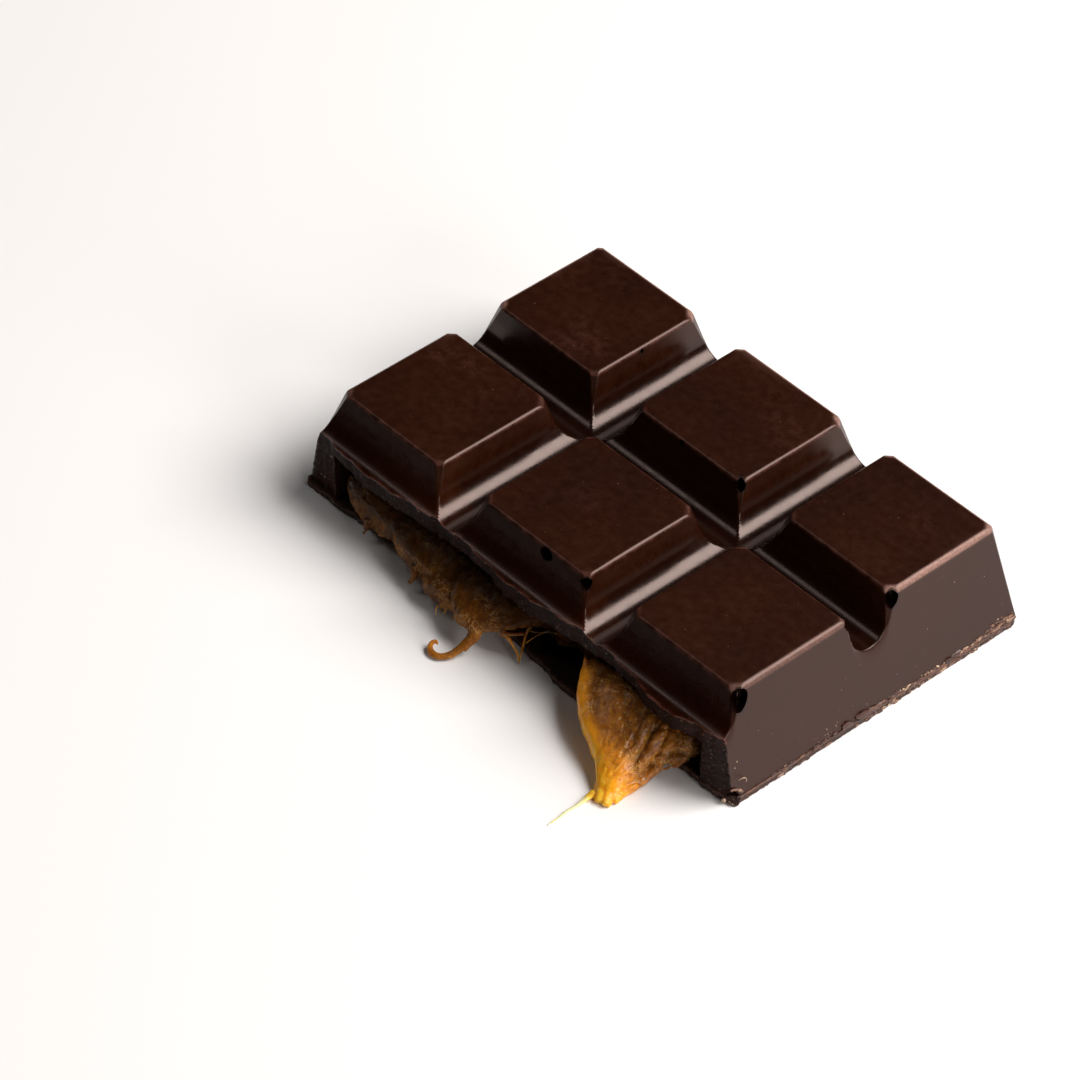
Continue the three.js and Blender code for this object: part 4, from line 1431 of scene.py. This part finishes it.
# ---------------------------------------------------------------- crumbs and dust
def chip_shape(rng, size, squash=0.6):
    """A small rough grain round the origin."""
    bm = bmesh.new()
    bmesh.ops.create_icosphere(bm, subdivisions=1, radius=1.0)
    co = np.array([v.co for v in bm.verts])
    faces = [[v.index for v in f.verts] for f in bm.faces]
    bm.free()
    r = 1 + 0.42 * noise(co + rng.uniform(0, 50, 3), 0.8, 5)
    scale = size * np.array([rng.uniform(0.7, 1.35), rng.uniform(0.7, 1.35), squash * rng.uniform(0.6, 1.2)])
    return co * r[:, None] * scale, faces


def facing(normal, spin):
    n = Vector(normal).normalized()
    q = n.to_track_quat("Z", "Y")
    return np.array((q.to_matrix() @ Matrix.Rotation(spin, 3, "Z")))


def grains(rng, spots, squash=0.6, sunk=0.25, drawn=1.0):
    """Grains at spots (point, normal, size, shade); returns vertices, faces and shades."""
    parts, shades = [], []
    for point, normal, size, shade in spots:
        v, f = chip_shape(rng, size, squash)
        m = facing(normal, rng.uniform(0, 6.28))
        n = np.array(Vector(normal).normalized())
        v = v @ m.T
        # Grains on the end walls are drawn out along the seam.
        v[:, 1] *= 1 + (drawn - 1) * rng.uniform(0, 1) * (abs(n[0]) > 0.9)
        v = v + np.array(point) + n * size * (squash - sunk) * 0.5
        v[:, 2] = np.maximum(v[:, 2], 0.03)
        parts.append((v, f))
        shades += [shade] * len(v)
    verts, faces = joined(parts)
    return verts, faces, shades


END_LEAN = math.atan((END_HALF - END_TOP) / TOP)
END_NORMAL = (math.cos(END_LEAN), 0.0, math.sin(END_LEAN))
FAR_LEAN = math.atan((FAR_Y - FAR_TOP) / TOP)
FAR_NORMAL = (0.0, math.cos(FAR_LEAN), math.sin(FAR_LEAN))


def seam_spots(rng):
    """Crumbs caught along the seam over the bottom layer, in runs."""
    spots = []
    for side in ("end", "start", "far"):
        span = (-22.6, 23.4) if side != "far" else (-35.5, 35.5)
        for _ in range(900 if side != "far" else 1300):
            t = rng.uniform(*span)
            key = np.array([[t, {"end": 0.0, "start": 50.0, "far": 90.0}[side], 0.0]])
            run = 0.40 + 1.0 * float(fractal(key, 5.0, 3, 0.6, 201)[0])
            if side == "end":
                run += 0.45 * float(smooth(-6, 8, t)) - 0.15
            if rng.uniform() > run:
                continue
            upper = rng.uniform() < 0.6
            z = SEAM + rng.normal(0.02, 0.10) * (1 + 1.2 * max(run - 0.75, 0)) if upper else rng.uniform(0.08, 0.85)
            size = float(np.clip(rng.lognormal(-2.35, 0.40), 0.05, 0.26))
            reach = np.interp(z, END_H, END_X) if side != "far" else np.interp(z, FAR_H, FAR_X)
            if not upper:
                reach = END_HALF - 0.02 if side != "far" else FAR_Y - 0.02
            if side == "far":
                p, n = (t, reach, z), FAR_NORMAL
            else:
                p, n = ((reach if side == "end" else -reach), t, z), (END_NORMAL if side == "end" else (-END_NORMAL[0], 0, END_NORMAL[2]))
            tone = 0.36 + 0.2 * float(smooth(-4, 6, t)) if side == "end" else 0.5
            spots.append((p, n, size, float(np.clip(rng.normal(tone, 0.2), 0, 1))))
    # Paler flakes towards the end's far corner.
    for _ in range(60):
        y, z = 23.2 - 20 * rng.uniform(0, 1) ** 1.4, SEAM + 0.05 + rng.normal(0, 0.16)
        spots.append(((float(np.interp(z, END_H, END_X)), y, z), END_NORMAL, float(np.clip(rng.lognormal(-2.5, 0.5), 0.04, 0.22)), float(rng.uniform(0.6, 1.0))))
    for _ in range(110):
        y = 23.3 - abs(rng.normal(0, 4.0))
        z = SEAM + 0.1 + abs(rng.normal(0, 0.42)) * float(smooth(12, 22, y))
        spots.append(((float(np.interp(z, END_H, END_X)), y, z), END_NORMAL, float(np.clip(rng.lognormal(-2.4, 0.45), 0.05, 0.24)), float(rng.uniform(0.3, 0.9))))
    # The bigger flakes seen along the end.
    for y, z, size, shade in ((-4.9, 1.8, 0.46, 0.40), (-4.3, 1.6, 0.32, 0.52), (-5.5, 1.6, 0.26, 0.6), (-2.3, 1.85, 0.48, 0.38), (-1.5, 1.7, 0.40, 0.45), (-0.7, 1.8, 0.34, 0.55), (0.3, 1.7, 0.28, 0.5), (1.0, 1.75, 0.24, 0.6), (-6.9, 1.7, 0.26, 0.4), (12.0, 1.5, 0.42, 0.2), (13.2, 1.7, 0.34, 0.35), (20.8, 1.9, 0.3, 0.75), (22.6, 1.8, 0.3, 0.8), (17.0, 1.75, 0.28, 0.7), (3.4, 1.75, 0.3, 0.4)):
        z -= 1.5 - SEAM
        spots.append(((float(np.interp(z, END_H, END_X)), y, z), END_NORMAL, size, shade))
    # Along the knocked-off corner.
    for _ in range(60):
        t = rng.uniform(0, 1)
        y = -21.78 - 1.7 * t
        z = 0.85 + 1.85 * math.sqrt(1 - ((y + 24.9) / 3.2) ** 2) + rng.normal(0, 0.05)
        spots.append(((float(np.interp(z, END_H, END_X)), y, z), END_NORMAL, float(rng.uniform(0.05, 0.11)), float(rng.uniform(0.45, 0.9))))
    spots.append(((35.1, -23.78, 0.62), (0.4, -0.5, 0.75), 0.27, 0.92))
    for _ in range(12):
        t = rng.uniform(0, 1)
        p = (35.1 + 1.3 * t, -23.75 + 0.55 * t + rng.normal(0, 0.05), 0.65 - 0.3 * t)
        spots.append((p, (0.3, -0.5, 0.8), float(rng.uniform(0.05, 0.12)), float(rng.uniform(0.45, 0.9))))
    return spots


def face_spots(rng, obj, number, wanted, size, shade):
    """Grains scattered over the faces of obj that wanted(centre, normal, slot) picks."""
    mesh = obj.data
    count = len(mesh.polygons)
    centre, normal = np.zeros(count * 3), np.zeros(count * 3)
    area, slot = np.zeros(count), np.zeros(count, np.int32)
    mesh.polygons.foreach_get("center", centre)
    mesh.polygons.foreach_get("normal", normal)
    mesh.polygons.foreach_get("area", area)
    mesh.polygons.foreach_get("material_index", slot)
    centre, normal = centre.reshape(-1, 3) / MM, normal.reshape(-1, 3)
    weight = area * wanted(centre, normal, slot)
    pick = rng.choice(count, number, p=weight / weight.sum())
    return [(tuple(centre[k]), tuple(normal[k]), float(np.clip(rng.lognormal(size, 0.4), 0.04, 0.2)), float(np.clip(rng.normal(shade, 0.26), 0, 1))) for k in pick]


def break_spots(rng):
    """Loose crumbs on the broken faces of the top and of the bottom layer."""
    spots = face_spots(rng, shell, 420, lambda c, n, s: (s == 1) & (c[:, 1] < -22.5) & (n[:, 1] < -0.2), -2.5, 0.25)
    spots += face_spots(rng, base, 420, lambda c, n, s: (c[:, 1] < -21) & (n[:, 1] < -0.4) & (c[:, 2] > 0.08) & (c[:, 2] < 1.5), -2.65, 0.40)
    # A reddish run of them on the rim.
    for _ in range(230):
        x = rng.normal(9.6, 2.6) if rng.uniform() < 0.7 else rng.uniform(-34, 34)
        spots.append(((x, float(break_line(x)) + abs(rng.normal(0, 0.16)), GROOVE_Z), (0, -0.35, 0.94), float(rng.uniform(0.035, 0.10)), float(rng.uniform(0.30, 0.62))))
    return spots


def dust_spots(rng):
    """Pale specks on the tops and walls."""
    spots = []
    for _ in range(46):
        y, z = rng.uniform(-22, 22), rng.uniform(2.0, 13.5)
        if abs(y - GROOVE_YS[0]) < 4.2 and z > 8.6:
            continue
        if z < 6 or rng.uniform() < 0.4:
            spots.append(((float(np.interp(z, END_H, END_X)), y, z), END_NORMAL, float(rng.uniform(0.03, 0.07)), 0.85))
    for _ in range(34):
        y, z = rng.normal(-8.0, 1.4), SEAM + 0.2 + abs(rng.normal(0, 0.7))
        spots.append(((float(np.interp(z, END_H, END_X)), y, z), END_NORMAL, float(rng.uniform(0.03, 0.08)), float(rng.uniform(0.5, 1.0))))
    for y, z in ((-22.7, 5.2), (-22.3, 5.9)):
        spots.append(((float(np.interp(z, END_H, END_X)), y, z), END_NORMAL, float(rng.uniform(0.06, 0.14)), 1.0))
    for _ in range(60):
        x = rng.integers(-1, 2) * PITCH + rng.uniform(-8, 8)
        y = ROW_Y[rng.integers(0, 2)] + rng.uniform(-8, 8)
        spots.append(((x, y, TOP + 0.005), (0, 0, 1), float(rng.uniform(0.025, 0.06)), 0.75))
    for _ in range(40):
        x, z = rng.uniform(-34, 34), rng.uniform(2.0, 13.5)
        if min(abs(x - 12.5), abs(x + 12.5)) < 4.2 and z > 8.6:
            continue
        spots.append(((x, float(np.interp(z, FAR_H, FAR_X)), z), FAR_NORMAL, float(rng.uniform(0.04, 0.09)), 1.0))
    return spots


def build_crumbs():
    rng = np.random.default_rng(SEED + 1)
    verts, faces, shades = grains(rng, seam_spots(rng) + break_spots(rng), drawn=3.0)
    v2, f2, s2 = grains(rng, dust_spots(rng), 0.5, 0.3)
    # A curled shaving low on the end wall.
    v3, f3 = tube(((35.9, -22.6, 3.5), (36.05, -22.2, 3.75), (36.1, -21.7, 3.6), (36.1, -21.4, 3.2), (36.15, -21.45, 2.8)), (0.03, 0.06, 0.07, 0.05, 0.03), 8, 24, 0.6, 9)
    verts, faces = joined([(verts, faces), (v2, f2), (v3, f3)])
    obj = make_object("crumbs", verts, faces, [CRUMB], smooth_shade=False)
    outward(obj)
    attribute(obj, "shade", list(shades) + list(s2) + [0.95] * len(v3))
    return obj


crumbs = build_crumbs()
print("crumbs", len(crumbs.data.polygons))
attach(crumbs, "root")


# ---------------------------------------------------------------- stage, light, camera
def stage():
    m, nt, b = material("table")
    b.inputs["Base Color"].default_value = (0.9, 0.9, 0.9, 1)
    b.inputs["Roughness"].default_value = 0.6
    b.inputs["Specular IOR Level"].default_value = 0.2
    bpy.ops.mesh.primitive_plane_add(size=4.0, location=(0, 0, 0))
    floor = bpy.context.object
    floor.name = "table_top"
    floor.data.materials.append(m)


def softbox(name, direction, distance, size, power):
    d = Vector(direction).normalized()
    data = bpy.data.lights.new(name, "AREA")
    data.shape = "RECTANGLE"
    data.size, data.size_y = size
    data.energy = power
    data.color = (1.0, 0.955, 0.925)
    obj = bpy.data.objects.new(name, data)
    obj.location = d * distance
    obj.rotation_euler = (-d).to_track_quat("-Z", "Y").to_euler()
    bpy.context.scene.collection.objects.link(obj)
    return obj


def camera():
    data = bpy.data.cameras.new("camera")
    data.sensor_width = 36.0
    data.lens = 195.506
    data.clip_start, data.clip_end = 0.01, 20
    obj = bpy.data.objects.new("camera", data)
    obj.location = (0.349237, -0.3779, 0.474379)
    obj.rotation_euler = [math.radians(a) for a in (47.30165, -2.70356, 46.83239)]
    bpy.context.scene.collection.objects.link(obj)
    bpy.context.scene.camera = obj


def reflection_card():
    """A dark card left of the broken side. Only reflections see it."""
    m, nt, b = material("card")
    b.inputs["Base Color"].default_value = (0.012, 0.005, 0.004, 1)
    b.inputs["Roughness"].default_value = 0.8
    b.inputs["Specular IOR Level"].default_value = 0.0
    bpy.ops.mesh.primitive_cube_add(size=1.0, location=(-0.035, -0.086, 0.024))
    card = bpy.context.object
    card.name = "dark_card"
    card.scale = (0.20, 0.10, 0.046)
    card.data.materials.append(m)
    card.visible_camera = card.visible_diffuse = card.visible_shadow = False
    card.visible_transmission = card.visible_volume_scatter = False


stage()
reflection_card()
camera()
softbox("key", (0.47, 0.48, 0.74), 0.9, (0.62, 0.62), 14.0)
softbox("side", (0.92, -0.10, 0.34), 0.9, (0.5, 0.36), 2.9)
softbox("fill", (-0.507, -0.306, 0.815), 0.9, (0.22, 0.22), 0.34)
world = bpy.data.worlds.new("world")
world.use_nodes = True
world.node_tree.nodes["Background"].inputs[0].default_value = (1, 1, 1, 1)
world.node_tree.nodes["Background"].inputs[1].default_value = 0.008
bpy.context.scene.world = world
bpy.context.scene.view_settings.view_transform = "Standard"
bpy.context.scene.view_settings.look = "None"
